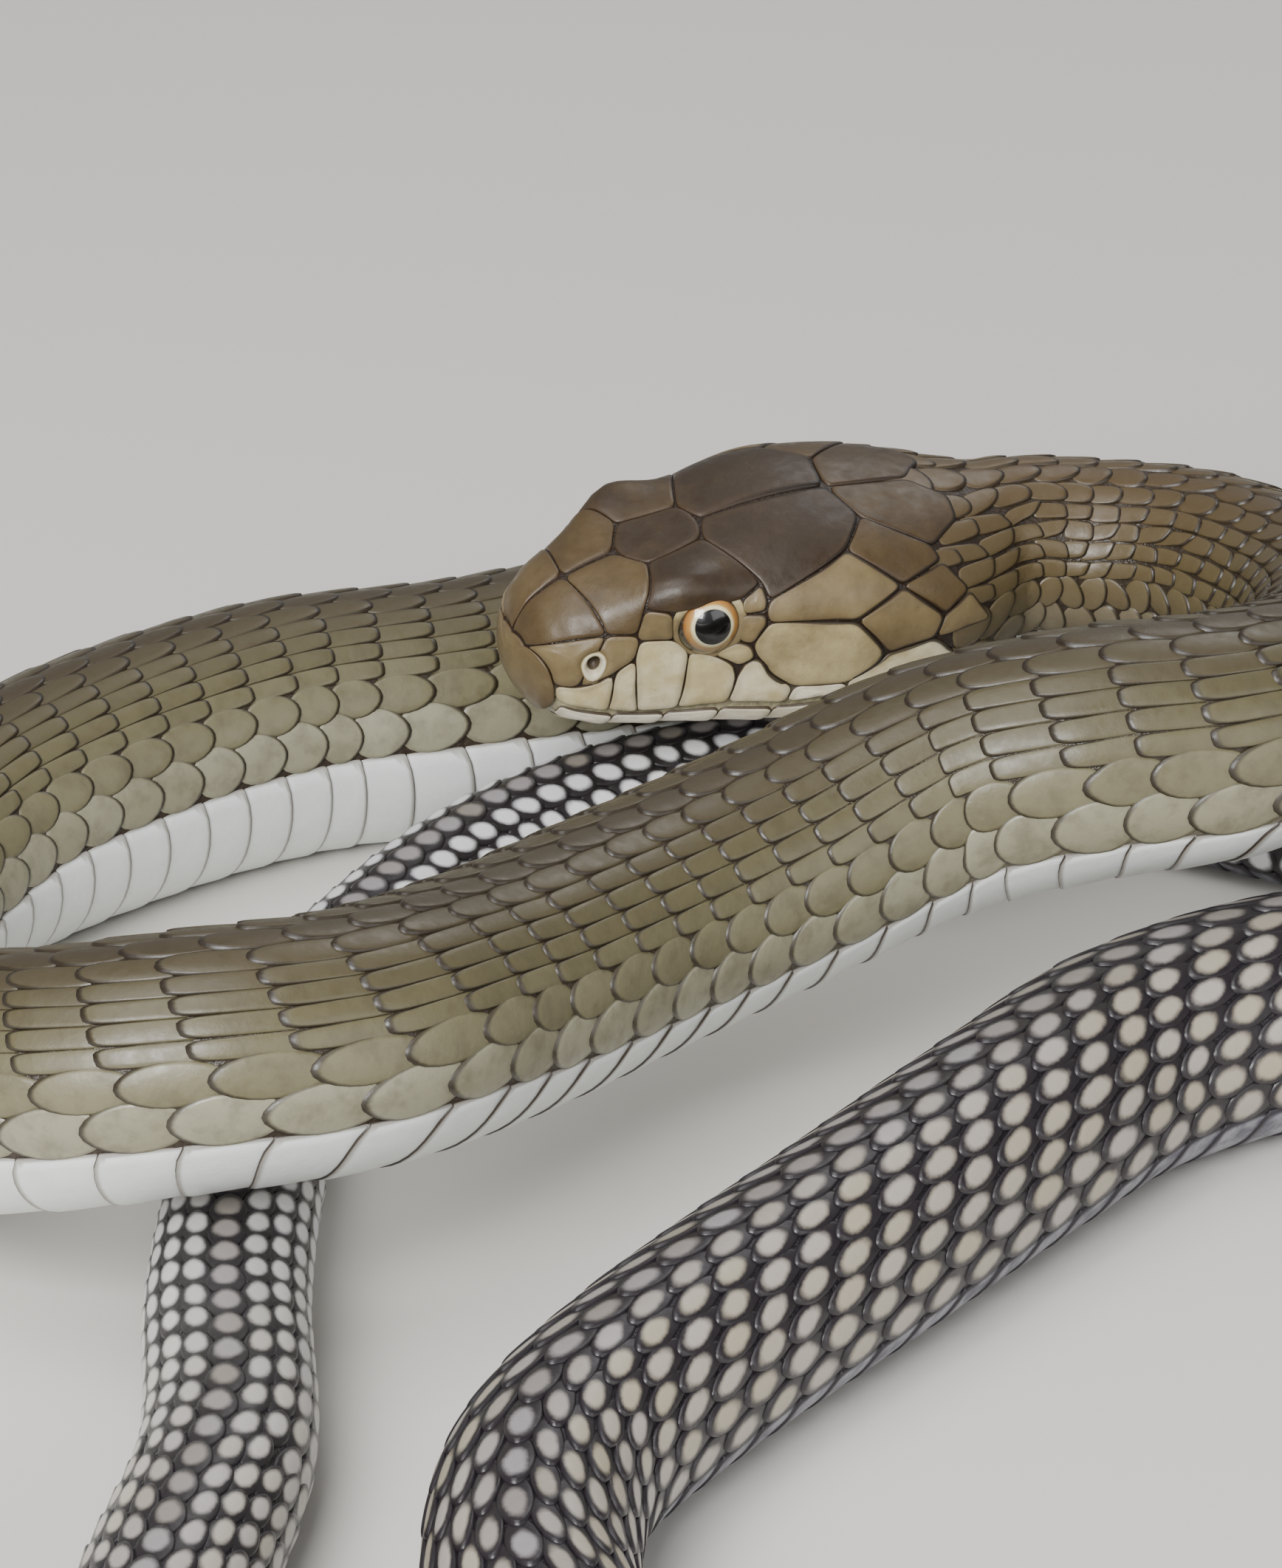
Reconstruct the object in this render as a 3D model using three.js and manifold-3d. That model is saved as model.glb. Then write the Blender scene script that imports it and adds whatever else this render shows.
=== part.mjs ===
// A king cobra at rest, life size, in millimetres with the floor at Z = 0.
// The head faces -X and lies over the tail; the body runs from it in loops along the floor.
import * as THREE from "three";
import { mergeVertices } from "three/addons/utils/BufferGeometryUtils.js";
import Module from "manifold-3d";

const wasm = await Module();
wasm.setup();

const DEG = Math.PI / 180;
const UP = new THREE.Vector3(0, 0, 1);

// Materials
const hide = (color, roughness) =>
  new THREE.MeshStandardMaterial({ color, roughness, flatShading: true });
const HEAD_SKIN = hide("#5e4d34", 0.5);
const FRONT_SKIN = hide("#6f6648", 0.55);
const REAR_SKIN = hide("#3a3438", 0.5);
const EYE_GLASS = hide("#1a120a", 0.15);

// Head: the snout tip, the way back along the head in plan, its lean to the left and its length
const SNOUT = new THREE.Vector3(-20, -46, 46);
const HEAD_TURN = 26 * DEG;
const HEAD_LEAN = 11 * DEG;
const HEAD_LENGTH = 83.85;
const BACK = new THREE.Vector3(Math.cos(HEAD_TURN), Math.sin(HEAD_TURN), 0);
const LEFT = new THREE.Vector3().crossVectors(BACK, UP).applyAxisAngle(BACK, -HEAD_LEAN);
const CROWN = new THREE.Vector3().crossVectors(LEFT, BACK);

// Head stations: distance back, half width, height above and depth below the snout line, squareness
const HEAD_STATIONS = [
  [0, 5, 5.4, -4.6, 2.2],
  [1.2, 7.8, 7.8, -7, 2.3],
  [4, 10.4, 10.4, -9.6, 2.5],
  [9, 12.6, 12.8, -11.4, 2.7],
  [16, 14.4, 14.8, -12.5, 2.8],
  [23, 16.4, 16.2, -13, 2.8],
  [30, 18.9, 18, -13.4, 2.8],
  [38, 21.6, 19.4, -13.7, 2.8],
  [48, 24, 19.9, -13.9, 2.7],
  [58, 24.2, 19, -14.2, 2.5],
  [68, 22.8, 17.8, -14.4, 2.3],
  [77, 19.5, 16.6, -15, 2.1],
  [84, 15.8, 15.7, -15.5, 2],
];
const HEAD_RINGS = 24;
const HEAD_SIDES = 28;

// Brow: where it swells most, back from the snout and round from the left side, how far and how much
const BROW = { back: 21, reach: 7, angle: 50 * DEG, spread: 20 * DEG, swell: 0.26 };

// Eyes: centre back from the snout, out from the middle and up, and the size of ball and socket
const EYE = { back: 26.8, out: 13.8, up: 8, radius: 6, clear: 0.3 };
const EYE_PARTS = 16;
const SMALLEST_EDGE = 0.02; // finer steps where shields meet are smoothed away

// Corners of the head shields on the left: distance back, and degrees round from the side upwards
const CORNERS = {
  mid1: [1.4, 90], mid2: [7.5, 90], mid3: [16.2, 90], mid4: [30.5, 90], mid5: [53, 90], mid6: [68, 90],
  crown1: [19.2, 76], crown2: [29, 82], crown3: [54.7, 75], crown4: [73, 78], crown5: [72, 64],
  nose1: [1.6, 35], nose2: [9.9, 30], nose3: [15.5, 42], nose4: [14.3, 25], nose5: [14.8, 20],
  nose6: [2.7, -6], nose7: [5.9, -3], nose8: [11.1, 2], nose9: [14.1, 8],
  eye1: [19.4, 36], eye2: [20, 18], eye3: [22.4, 9], eye4: [25.9, 6], eye5: [29.6, 12],
  eye6: [30.3, 28], eye7: [30.5, 37], eye8: [34.2, 46],
  temple1: [34.7, 34], temple2: [34, 27], temple3: [34.3, 21], temple4: [31.8, 9],
  temple5: [49.3, 58], temple6: [56.9, 35], temple7: [48.1, 18], temple8: [64.8, 53],
  temple9: [65.5, 45], temple10: [64.1, 16], temple11: [62.3, 5], temple12: [53.4, 1],
  temple13: [69.7, 27], temple14: [74.2, 7],
  cheek1: [32.6, 3], cheek2: [30, 0], cheek3: [35.2, -2], cheek4: [38.7, -8], cheek5: [47, -8],
  lip1: [3.2, -22], lip2: [10.9, -23], lip3: [15.7, -25], lip4: [21.7, -22], lip5: [29.1, -17.5],
  lip6: [38, -18.5], lip7: [47.5, -14], lip8: [67, -4],
  chin1: [5, -88], chin2: [5, -57], chin3: [18, -55], chin4: [20, -88], chin5: [32, -57], chin6: [35, -88],
  chin7: [3, -50], chin8: [2.4, -90],
};

// Shields on both sides of the head: name, how far raised, and corners in turn
const PAIRED_SHIELDS = [
  ["internasal", 0.6, "mid1 mid2 nose2 nose1"],
  ["prefrontal", 0.6, "mid2 mid3 crown1 nose3 nose4 nose2"],
  ["supraocular", 1.1, "crown1 crown2 eye8 eye7 eye1 nose3"],
  ["parietal", 0.6, "mid4 mid5 crown3 temple5 temple1 eye8 crown2"],
  ["occipital", 0.6, "mid5 mid6 crown4 crown5 temple8 crown3"],
  ["preocular", 0.6, "nose3 eye1 eye2 nose5 nose4"],
  ["postocular_1", 0.6, "eye7 eye8 temple1 temple2 eye6"],
  ["postocular_2", 0.6, "eye6 temple2 temple3 temple4 eye5"],
  ["postocular_3", 0.6, "eye5 temple4 cheek1 cheek2 eye4"],
  ["temporal_1", 0.6, "temple1 temple5 temple6 temple7 temple3 temple2"],
  ["temporal_2", 0.6, "temple3 temple7 temple12 cheek5 cheek4 cheek3 cheek1 temple4"],
  ["temporal_3", 0.6, "temple5 crown3 temple8 temple9 temple6"],
  ["temporal_4", 0.6, "temple7 temple6 temple10 temple11 temple12"],
  ["temporal_5", 0.6, "temple6 temple9 temple13 temple10"],
  ["temporal_6", 0.6, "temple10 temple13 temple14 temple11"],
  ["prenasal", 0.5, "nose1 nose2 nose7 nose6"],
  ["postnasal", 0.5, "nose2 nose4 nose5 nose9 nose8 nose7"],
  ["upper_lip_1", 0.6, "nose6 nose7 nose8 lip2 lip1"],
  ["upper_lip_2", 0.6, "nose8 nose9 lip3 lip2"],
  ["upper_lip_3", 0.6, "nose9 nose5 eye2 eye3 lip4 lip3"],
  ["upper_lip_4", 0.6, "eye3 eye4 cheek2 lip5 lip4"],
  ["upper_lip_5", 0.6, "cheek2 cheek1 cheek3 cheek4 lip6 lip5"],
  ["upper_lip_6", 0.6, "cheek4 cheek5 lip7 lip6"],
  ["upper_lip_7", 0.6, "cheek5 temple12 temple11 lip8 lip7"],
  ["chin_shield_1", 0.4, "chin1 chin2 chin3 chin4"],
  ["chin_shield_2", 0.4, "chin4 chin3 chin5 chin6"],
];
const FRONTAL = { rise: 0.6, corners: "mid3 crown1 crown2 mid4" };
const ROSTRAL = { rise: 0.6, corners: "mid1 nose1 nose6 lip1 chin7 chin8" };
const SHIELD_SEAM = 0.3; // how far each shield's edge stays back from the seam
const SHIELD_ROOT = 1; // how deep each shield is sunk into the head
const SHIELD_STEP = 8; // longest straight stretch of a shield's edge
const SHIELD_CROWN = 0.15; // how much higher a shield is at its middle than at its edge
const SMALL_SHIELD = 8; // a shield with no more edge points than this has no ring inside its edge

// Mouth: the line between the lips, the lower lip's shields below it, and its groove
const MOUTH = [
  [0, -28], [3.2, -25], [11, -26], [15.7, -28], [21.7, -25], [29.1, -20.5], [38, -21.5], [47.5, -17],
  [58, -11.5], [66, -7],
];
const LOWER_LIP = { from: 4, to: 61, count: 6, below: 3, down: 26, rise: 0.5 };
const MOUTH_GROOVE = { half: 0.8, deep: 1.2, high: 1.2 };
const NOSTRIL = { back: 7.9, angle: 9 * DEG, radius: 1.7, parts: 8 };

// Body route from the back of the head to the tail tip: x, y, belly height and girth radius
const ROUTE = [
  [33.5, -26.3, 30.2, 15.8],
  [55.5, -9.2, 31.6, 15.6],
  [74.9, -6.1, 30.6, 15.4],
  [92.8, -14.5, 31, 15.8],
  [105.8, -33.6, 31.6, 16.4],
  [109.3, -56, 33, 17.4],
  [103, -78.5, 34.4, 18.5],
  [88, -93.5, 36, 19.2],
  [67, -97.5, 34.4, 19.6],
  [44, -98, 28.4, 19.7],
  [21.5, -107, 21.4, 19.5],
  [0, -123, 18.6, 19.3],
  [-22, -148.5, 20.6, 19.2],
  [-41, -171, 25.3, 19.1],
  [-62, -178.5, 25.9, 19.1],
  [-87, -173.5, 20, 19.1],
  [-109, -155, 10.5, 19.2],
  [-122, -128, 3.4, 19.4],
  [-123, -97, 0, 19.7],
  [-110, -66, 0, 20.4],
  [-88, -41, 0, 21.2],
  [-59.5, -20.5, 0, 21.4],
  [-30, -10, 0, 20.9],
  [2, 4.5, 0, 20.9],
  [38, 22, 0, 21.0],
  [68, 26, 0, 21.1],
  [92, 18.5, 0, 21.3],
  [120, 4, 0, 21.4],
  [156, 2, 0, 21.6],
  [198, 16, 0, 21.9],
  [228, 54, 0, 22.1],
  [232, 100, 0, 22.3],
  [232, 148, 0, 22.5],
  [258, 186, 0, 22.6],
  [302, 194, 0, 22.8],
  [342, 164, 0, 23.0],
  [352, 116, 0, 23.0],
  [336, 68, 0, 23.0],
  [334, 20, 0, 22.9],
  [364, -26, 0, 22.8],
  [396, -72, 0, 22.6],
  [396, -124, 0, 22.2],
  [360, -162, 0, 21.8],
  [308, -166, 0, 21.2],
  [256, -142, 0, 20.6],
  [202, -122, 0, 20.0],
  [150, -112, 0, 19.2],
  [106, -111, 0, 18.4],
  [75, -126, 0, 17.8],
  [54, -150, 0, 17.2],
  [30, -181, 0, 16.6],
  [4.7, -214, 0, 16.0],
  [-11.5, -242, 0, 15.4],
  [-14.5, -270, 0, 14.9],
  [-11, -298, 0, 14.5],
  [-18, -324, 0, 14.2],
  [-38, -338, 0, 13.9],
  [-58, -327, 0, 13.6],
  [-66, -302, 0, 13.3],
  [-62, -268, 0, 12.9],
  [-56.5, -232, 0, 12.5],
  [-58.5, -192, 0, 12.1],
  [-57.5, -152, 0, 11.7],
  [-54, -112, 0, 11.3],
  [-42, -79, 0, 11.1],
  [-23.5, -49.5, 1.2, 10.9],
  [1, -31.5, 3.2, 10.7],
  [28, -23, 4.6, 10.5],
  [50, -13.5, 3.6, 10.3],
  [75, -18, 1.0, 9.9],
  [108, -36, 0, 9.0],
  [146, -51, 0, 7.7],
  [188, -58, 0, 6.0],
  [230, -52, 0, 4.3],
  [266, -32, 0, 2.7],
  [294, -6, 0, 1.3],
];
const BELLY_SINK = 0.93; // the axis lies this share of the radius above the belly line, so it rests flat
const RING_PITCH = 13.8;
const BODY_SIDES = 16;
const FACET_REACH = 1.01; // corners of the rings stand this share of the girth out
const BELLY_HALF = 60 * DEG; // the belly scutes reach this far up from the middle of the belly
const SCUTE_STEP = 0.035; // how far a belly scute's rear edge stands out, as a share of the girth
const SCUTE_LIP = 0.8;

// Lean of the body: distance along it, and how many degrees the belly is turned to the animal's left
const BODY_ROLL = [
  [0, -11], [80, -6], [200, -5], [330, -20], [400, -20], [490, 42], [580, 42], [760, 0], [1760, 0], [1820, -10],
  [1960, -10], [2020, 0],
];
const NODE_LENGTH = 82;
const VENT = 2060; // distance along the body where the tail begins
const GAP = 0.3;
const REAR_FROM = 1250; // distance along the body from which the skin is dark with pale spots

// The middle of the whole coil in plan, which is the frame's own origin
const MIDDLE = { x: 142.6, y: -67.5 };

// A closed body from rings of points, each ring going the same way round; points that fall together
// are one, and the ends close on a middle point
function loftOf(rings, lastMiddle = middleOf(rings[rings.length - 1])) {
  const points = [];
  const known = new Map();
  const numberOf = (p) => {
    const place = p.toArray().map((v) => v.toFixed(3)).join();
    if (!known.has(place)) known.set(place, points.push(p) - 1);
    return known.get(place);
  };
  const faces = [];
  const face = (a, b, c) => {
    if (a !== b && b !== c && c !== a) faces.push(a, b, c);
  };
  const numbers = rings.map((ring) => ring.map(numberOf));
  const first = numberOf(middleOf(rings[0]));
  const last = numberOf(lastMiddle);
  const count = rings[0].length;
  for (let j = 0; j < count; j++) {
    const k = (j + 1) % count;
    face(first, numbers[0][j], numbers[0][k]);
    face(last, numbers[rings.length - 1][k], numbers[rings.length - 1][j]);
    for (let i = 0; i + 1 < rings.length; i++) {
      face(numbers[i][j], numbers[i + 1][k], numbers[i][k]);
      face(numbers[i][j], numbers[i + 1][j], numbers[i + 1][k]);
    }
  }
  const geometry = new THREE.BufferGeometry().setFromPoints(points);
  geometry.setIndex(faces);
  return geometry;
}

function middleOf(ring) {
  const sum = new THREE.Vector3();
  for (const p of ring) sum.add(p);
  return sum.divideScalar(ring.length);
}

// Straight-line reading of a table of rows at a given first value
function readTable(rows, at) {
  let i = 0;
  while (i < rows.length - 2 && rows[i + 1][0] < at) i++;
  const t = Math.min(Math.max((at - rows[i][0]) / (rows[i + 1][0] - rows[i][0]), 0), 1);
  return rows[i].map((v, k) => v + (rows[i + 1][k] - v) * t);
}

// A point on the head: distance back from the snout and angle round from the left side upwards
function headPoint(back, angle) {
  const [, half, top, bottom, square] = readTable(HEAD_STATIONS, back);
  const c = Math.cos(angle);
  const s = Math.sin(angle);
  const out = half * Math.sign(c) * Math.abs(c) ** (2 / square);
  const middle = (top + bottom) / 2;
  const rise = ((top - bottom) / 2) * Math.sign(s) * Math.abs(s) ** (2 / square);
  const swell = 1 + browSwell(back, angle) + browSwell(back, Math.PI - angle);
  return placeOnHead(back, out * swell, (middle + rise) * swell);
}

function browSwell(back, angle) {
  const around = Math.atan2(Math.sin(angle - BROW.angle), Math.cos(angle - BROW.angle));
  return BROW.swell * Math.exp(-(((back - BROW.back) / BROW.reach) ** 2) - (around / BROW.spread) ** 2);
}

function placeOnHead(back, out, up) {
  return SNOUT.clone()
    .addScaledVector(BACK, back)
    .addScaledVector(LEFT, out)
    .addScaledVector(CROWN, up);
}

// The way out of the head's surface at a point
function headNormal(back, angle) {
  const step = 0.3;
  const turn = 2 * DEG;
  const along = headPoint(back + step, angle).sub(headPoint(Math.max(back - step, 0), angle));
  const around = headPoint(back, angle + turn).sub(headPoint(back, angle - turn));
  return along.cross(around).normalize();
}

function aboveHead(back, angle, lift) {
  return headPoint(back, angle).addScaledVector(headNormal(back, angle), lift);
}

function makeSkull() {
  const rings = [];
  for (let i = 0; i <= HEAD_RINGS; i++) {
    const share = i / HEAD_RINGS;
    const back = HEAD_LENGTH * (0.35 * share + 0.65 * share * share);
    const ring = [];
    for (let j = 0; j < HEAD_SIDES; j++) {
      ring.push(headPoint(back, (j / HEAD_SIDES) * 2 * Math.PI));
    }
    rings.push(ring);
  }
  return loftOf(rings);
}

const between = (a, b, share) => [a[0] + (b[0] - a[0]) * share, a[1] + (b[1] - a[1]) * share];

const mirrored = ([back, angle]) => [back, Math.PI - angle];

function cornersOf(names) {
  return names.split(" ").map((name) => [CORNERS[name][0], CORNERS[name][1] * DEG]);
}

function middleCorner(corners) {
  const [back, angle] = corners.reduce((sum, c) => [sum[0] + c[0], sum[1] + c[1]], [0, 0]);
  return [back / corners.length, angle / corners.length];
}

// The way from corner to corner with no stretch longer than the step, without its last point
function pathThrough(corners) {
  const path = [];
  for (let i = 0; i + 1 < corners.length; i++) {
    const length = headPoint(...corners[i]).distanceTo(headPoint(...corners[i + 1]));
    const pieces = Math.ceil(length / SHIELD_STEP);
    for (let k = 0; k < pieces; k++) path.push(between(corners[i], corners[i + 1], k / pieces));
  }
  return path;
}

// A shield: a low plate with its root sunk in the head, crowned towards its middle
function makeShield(corners, rise) {
  const centre = middleCorner(corners);
  const middle = headPoint(...centre);
  const edge = pathThrough([...corners, corners[0]]).map((p) => {
    return between(p, centre, SHIELD_SEAM / headPoint(...p).distanceTo(middle));
  });
  const ringAt = (share, lift) => edge.map((p) => aboveHead(...between(p, centre, share), lift));
  const rings = [ringAt(0, -SHIELD_ROOT), ringAt(0, rise)];
  if (edge.length > SMALL_SHIELD) rings.push(ringAt(0.5, rise + SHIELD_CROWN));
  return loftOf(rings, aboveHead(...centre, rise + SHIELD_CROWN));
}

// The shield of the snout and of the chin's tip, parted by the mouth, wraps round the blunt end
function makeRostral() {
  const left = cornersOf(ROSTRAL.corners);
  const right = left.slice(0, -1).reverse().map(([back, angle]) => [back, -Math.PI - angle]);
  const edge = pathThrough([...left, ...right]);
  const ringAt = (share, lift) => {
    return edge.map(([back, angle]) => aboveHead((back - SHIELD_SEAM) * (1 - share), angle, lift));
  };
  return loftOf([ringAt(0, -SHIELD_ROOT), ringAt(0, ROSTRAL.rise), ringAt(1, ROSTRAL.rise)]);
}

function makeFrontal() {
  const half = cornersOf(FRONTAL.corners);
  return makeShield([...half, ...half.slice(1, 3).reverse().map(mirrored)], FRONTAL.rise);
}

function makeLowerLips() {
  const pitch = (LOWER_LIP.to - LOWER_LIP.from) / LOWER_LIP.count;
  const corner = (back, down) => [back, (readTable(MOUTH, back)[1] - down) * DEG];
  const shields = [];
  for (let i = 0; i < LOWER_LIP.count; i++) {
    const front = LOWER_LIP.from + i * pitch;
    const corners = [
      corner(front, LOWER_LIP.below),
      corner(front + pitch, LOWER_LIP.below),
      corner(front + pitch, LOWER_LIP.down),
      corner(front, LOWER_LIP.down),
    ];
    shields.push(makeShield(corners, LOWER_LIP.rise));
    shields.push(makeShield(corners.map(mirrored), LOWER_LIP.rise));
  }
  return shields;
}

// The cut between the lips, from one corner of the mouth round the snout to the other
function makeMouthGroove() {
  const left = MOUTH.map(([back, angle]) => [back, angle * DEG]);
  const path = [...left.slice().reverse(), ...left.map(mirrored)];
  const rings = path.map(([back, angle]) => {
    const outside = aboveHead(back, angle, MOUTH_GROOVE.high);
    return [
      outside.clone().addScaledVector(CROWN, MOUTH_GROOVE.half),
      aboveHead(back, angle, -MOUTH_GROOVE.deep),
      outside.clone().addScaledVector(CROWN, -MOUTH_GROOVE.half),
    ];
  });
  return loftOf(rings);
}

// Boolean work between closed bodies
function toSolid(geometry) {
  const triVerts = new Uint32Array(geometry.index.array);
  const vertProperties = new Float32Array(geometry.attributes.position.array);
  const solid = new wasm.Manifold(new wasm.Mesh({ numProp: 3, vertProperties, triVerts }));
  if (solid.volume() > 0) return solid;
  triVerts.reverse(); // the faces were turned inwards
  return new wasm.Manifold(new wasm.Mesh({ numProp: 3, vertProperties, triVerts }));
}

function toGeometry(solid) {
  const bodies = solid.decompose();
  const largest = bodies.reduce((best, body) => (body.volume() > best.volume() ? body : best));
  const mesh = largest.getMesh();
  const geometry = new THREE.BufferGeometry();
  const places = new THREE.BufferAttribute(new Float32Array(mesh.vertProperties), 3);
  geometry.setAttribute("position", places);
  geometry.setIndex([...mesh.triVerts]);
  return geometry;
}

function makeBall(centre, radius, parts) {
  const geometry = new THREE.SphereGeometry(radius, parts, Math.round(parts * 0.6));
  geometry.deleteAttribute("normal");
  geometry.deleteAttribute("uv");
  return mergeVertices(geometry).translate(centre.x, centre.y, centre.z);
}

const eyeCentre = (side) => placeOnHead(EYE.back, side * EYE.out, EYE.up);

function makeHead() {
  const shields = [makeRostral(), makeFrontal(), ...makeLowerLips()];
  for (const [, rise, names] of PAIRED_SHIELDS) {
    const corners = cornersOf(names);
    shields.push(makeShield(corners, rise), makeShield(corners.map(mirrored), rise));
  }
  const cuts = [makeMouthGroove()];
  for (const side of [1, -1]) {
    cuts.push(makeBall(eyeCentre(side), EYE.radius + EYE.clear, EYE_PARTS));
    const angle = side > 0 ? NOSTRIL.angle : Math.PI - NOSTRIL.angle;
    cuts.push(makeBall(headPoint(NOSTRIL.back, angle), NOSTRIL.radius, NOSTRIL.parts));
  }
  const whole = shields.map(toSolid).reduce((sum, shield) => sum.add(shield), toSolid(makeSkull()));
  const finished = cuts.map(toSolid).reduce((rest, cut) => rest.subtract(cut), whole);
  return toGeometry(finished.simplify(SMALLEST_EDGE));
}

// Body: the route as a curve with an even walk along it
const axisPoints = ROUTE.map(
  ([x, y, lift, radius]) => new THREE.Vector3(x, y, lift + BELLY_SINK * radius),
);
const axis = new THREE.CatmullRomCurve3(axisPoints, false, "catmullrom", 0.5);
axis.arcLengthDivisions = 4000;
const firstShare = 1 / (ROUTE.length - 1);
const axisLength = axis.getLength();
const lengthsAlong = axis.getLengths();
const bodyStart = lengthsAlong[Math.round(firstShare * 4000)];
const bodyLength = axisLength - bodyStart;

function bodyFrame(distance) {
  const share = Math.min((bodyStart + distance) / axisLength, 1);
  const t = axis.getUtoTmapping(share);
  const centre = axis.getPoint(t);
  const along = axis.getTangent(t);
  const up = UP.clone().addScaledVector(along, -along.z).normalize();
  const left = new THREE.Vector3().crossVectors(along, up);
  const spot = t * (ROUTE.length - 1);
  const i = Math.min(Math.floor(spot), ROUTE.length - 2);
  const radius = ROUTE[i][3] + (ROUTE[i + 1][3] - ROUTE[i][3]) * (spot - i);
  return { centre, along, left, up, radius };
}

// One ring of the body, its belly drawn in by a share of the girth and set further along the axis
function bodyRing(distance, shift = 0, drawnIn = 0, bellyShift = 0) {
  const { centre, along, left, up, radius } = bodyFrame(distance);
  const roll = readTable(BODY_ROLL, distance)[1] * DEG;
  const ring = [];
  for (let j = 0; j < BODY_SIDES; j++) {
    const fromBelly = ((j + 0.5) / BODY_SIDES - 0.5) * 2 * Math.PI;
    const onBelly = Math.abs(fromBelly) < BELLY_HALF;
    const angle = fromBelly + roll - Math.PI / 2;
    const reach = radius * (FACET_REACH - (onBelly ? drawnIn : 0));
    const p = centre
      .clone()
      .addScaledVector(along, shift + (onBelly ? bellyShift : 0))
      .addScaledVector(left, reach * Math.cos(angle))
      .addScaledVector(up, reach * Math.sin(angle));
    p.z = Math.max(p.z, 0);
    ring.push(p);
  }
  return ring;
}

// A length of the body with one belly scute between each ring and the next, its rear edge standing out
function makeLength(from, to) {
  const steps = Math.max(2, Math.round((to - from) / RING_PITCH));
  const rings = [bodyRing(from, GAP / 2, SCUTE_STEP)];
  for (let i = 1; i < steps; i++) {
    const distance = from + ((to - from) * i) / steps;
    rings.push(bodyRing(distance), bodyRing(distance, 0, SCUTE_STEP, SCUTE_LIP));
  }
  rings.push(bodyRing(to, -GAP / 2));
  return loftOf(rings);
}

// The whole animal
const cobra = new THREE.Group();
cobra.name = "king_cobra";
cobra.position.set(-MIDDLE.x, -MIDDLE.y, 0);

function add(name, geometry, material) {
  const mesh = new THREE.Mesh(geometry, material.clone());
  mesh.name = name;
  cobra.add(mesh);
}

add("head", makeHead(), HEAD_SKIN);
add("eye_left", makeBall(eyeCentre(1), EYE.radius, EYE_PARTS), EYE_GLASS);
add("eye_right", makeBall(eyeCentre(-1), EYE.radius, EYE_PARTS), EYE_GLASS);

const NODE_COUNT = Math.round(bodyLength / NODE_LENGTH);
const TAIL_AT = Math.round((VENT / bodyLength) * NODE_COUNT);

function lengthName(i) {
  const number = (n) => String(n).padStart(2, "0");
  if (i < 2) return "neck_" + number(i + 1);
  return i < TAIL_AT ? "body_" + number(i - 1) : "tail_" + number(i - TAIL_AT + 1);
}

for (let i = 0; i < NODE_COUNT; i++) {
  const from = (bodyLength * i) / NODE_COUNT;
  const to = (bodyLength * (i + 1)) / NODE_COUNT;
  add(lengthName(i), makeLength(from, to), from < REAR_FROM ? FRONT_SKIN : REAR_SKIN);
}

export default cobra;
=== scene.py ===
import math

import bpy
import numpy as np
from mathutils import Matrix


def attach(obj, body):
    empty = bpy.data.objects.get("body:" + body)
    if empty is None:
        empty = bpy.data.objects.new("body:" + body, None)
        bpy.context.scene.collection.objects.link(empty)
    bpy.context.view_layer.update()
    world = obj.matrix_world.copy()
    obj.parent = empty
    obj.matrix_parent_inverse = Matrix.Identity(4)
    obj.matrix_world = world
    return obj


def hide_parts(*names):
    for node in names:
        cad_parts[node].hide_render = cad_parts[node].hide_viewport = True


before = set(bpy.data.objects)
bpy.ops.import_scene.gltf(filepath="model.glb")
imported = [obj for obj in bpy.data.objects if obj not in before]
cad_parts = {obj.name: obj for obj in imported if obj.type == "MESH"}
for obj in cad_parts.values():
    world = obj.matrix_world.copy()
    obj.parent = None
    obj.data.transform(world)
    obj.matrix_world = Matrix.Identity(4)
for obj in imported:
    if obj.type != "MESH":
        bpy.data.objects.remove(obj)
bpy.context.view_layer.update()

MM = 0.001
DEG = math.pi / 180
draw = np.random.default_rng(11)

# Head: the snout tip, the way back along the head in plan, its lean to the left and its length
SNOUT = np.array([-20.0, -46.0, 46.0])
HEAD_TURN = 26 * DEG
HEAD_LEAN = 11 * DEG
HEAD_LENGTH = 84.0
UP = np.array([0.0, 0.0, 1.0])
BACK = np.array([math.cos(HEAD_TURN), math.sin(HEAD_TURN), 0.0])
LEVEL_LEFT = np.cross(BACK, UP)
LEFT = LEVEL_LEFT * math.cos(HEAD_LEAN) - UP * math.sin(HEAD_LEAN)
CROWN = UP * math.cos(HEAD_LEAN) + LEVEL_LEFT * math.sin(HEAD_LEAN)

# Head stations: distance back, half width, height above and depth below the snout line, squareness
HEAD_STATIONS = np.array([
    [0, 5, 5.4, -4.6, 2.2], [1.2, 7.8, 7.8, -7, 2.3], [4, 10.4, 10.4, -9.6, 2.5],
    [9, 12.6, 12.8, -11.4, 2.7], [16, 14.4, 14.8, -12.5, 2.8], [23, 16.4, 16.2, -13, 2.8],
    [30, 18.9, 18, -13.4, 2.8], [38, 21.6, 19.4, -13.7, 2.8], [48, 24, 19.9, -13.9, 2.7],
    [58, 24.2, 19, -14.2, 2.5], [68, 22.8, 17.8, -14.4, 2.3], [77, 19.5, 16.6, -15, 2.1],
    [84, 15.8, 15.7, -15.5, 2],
])
SNOUT_DOME = 0.9  # how far the middle of the blunt snout stands ahead of its first station
BROW = {"back": 21, "reach": 7, "angle": 50 * DEG, "spread": 20 * DEG, "swell": 0.26}
EYE = {"back": 25.9, "out": 13.6, "up": 9.5, "radius": 6.0}
SOCKET = {"deep": 3.5, "inner": 4.7, "outer": 5.5}
LIP_GROOVE = {"deep": 0.9, "half": 0.9}
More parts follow.
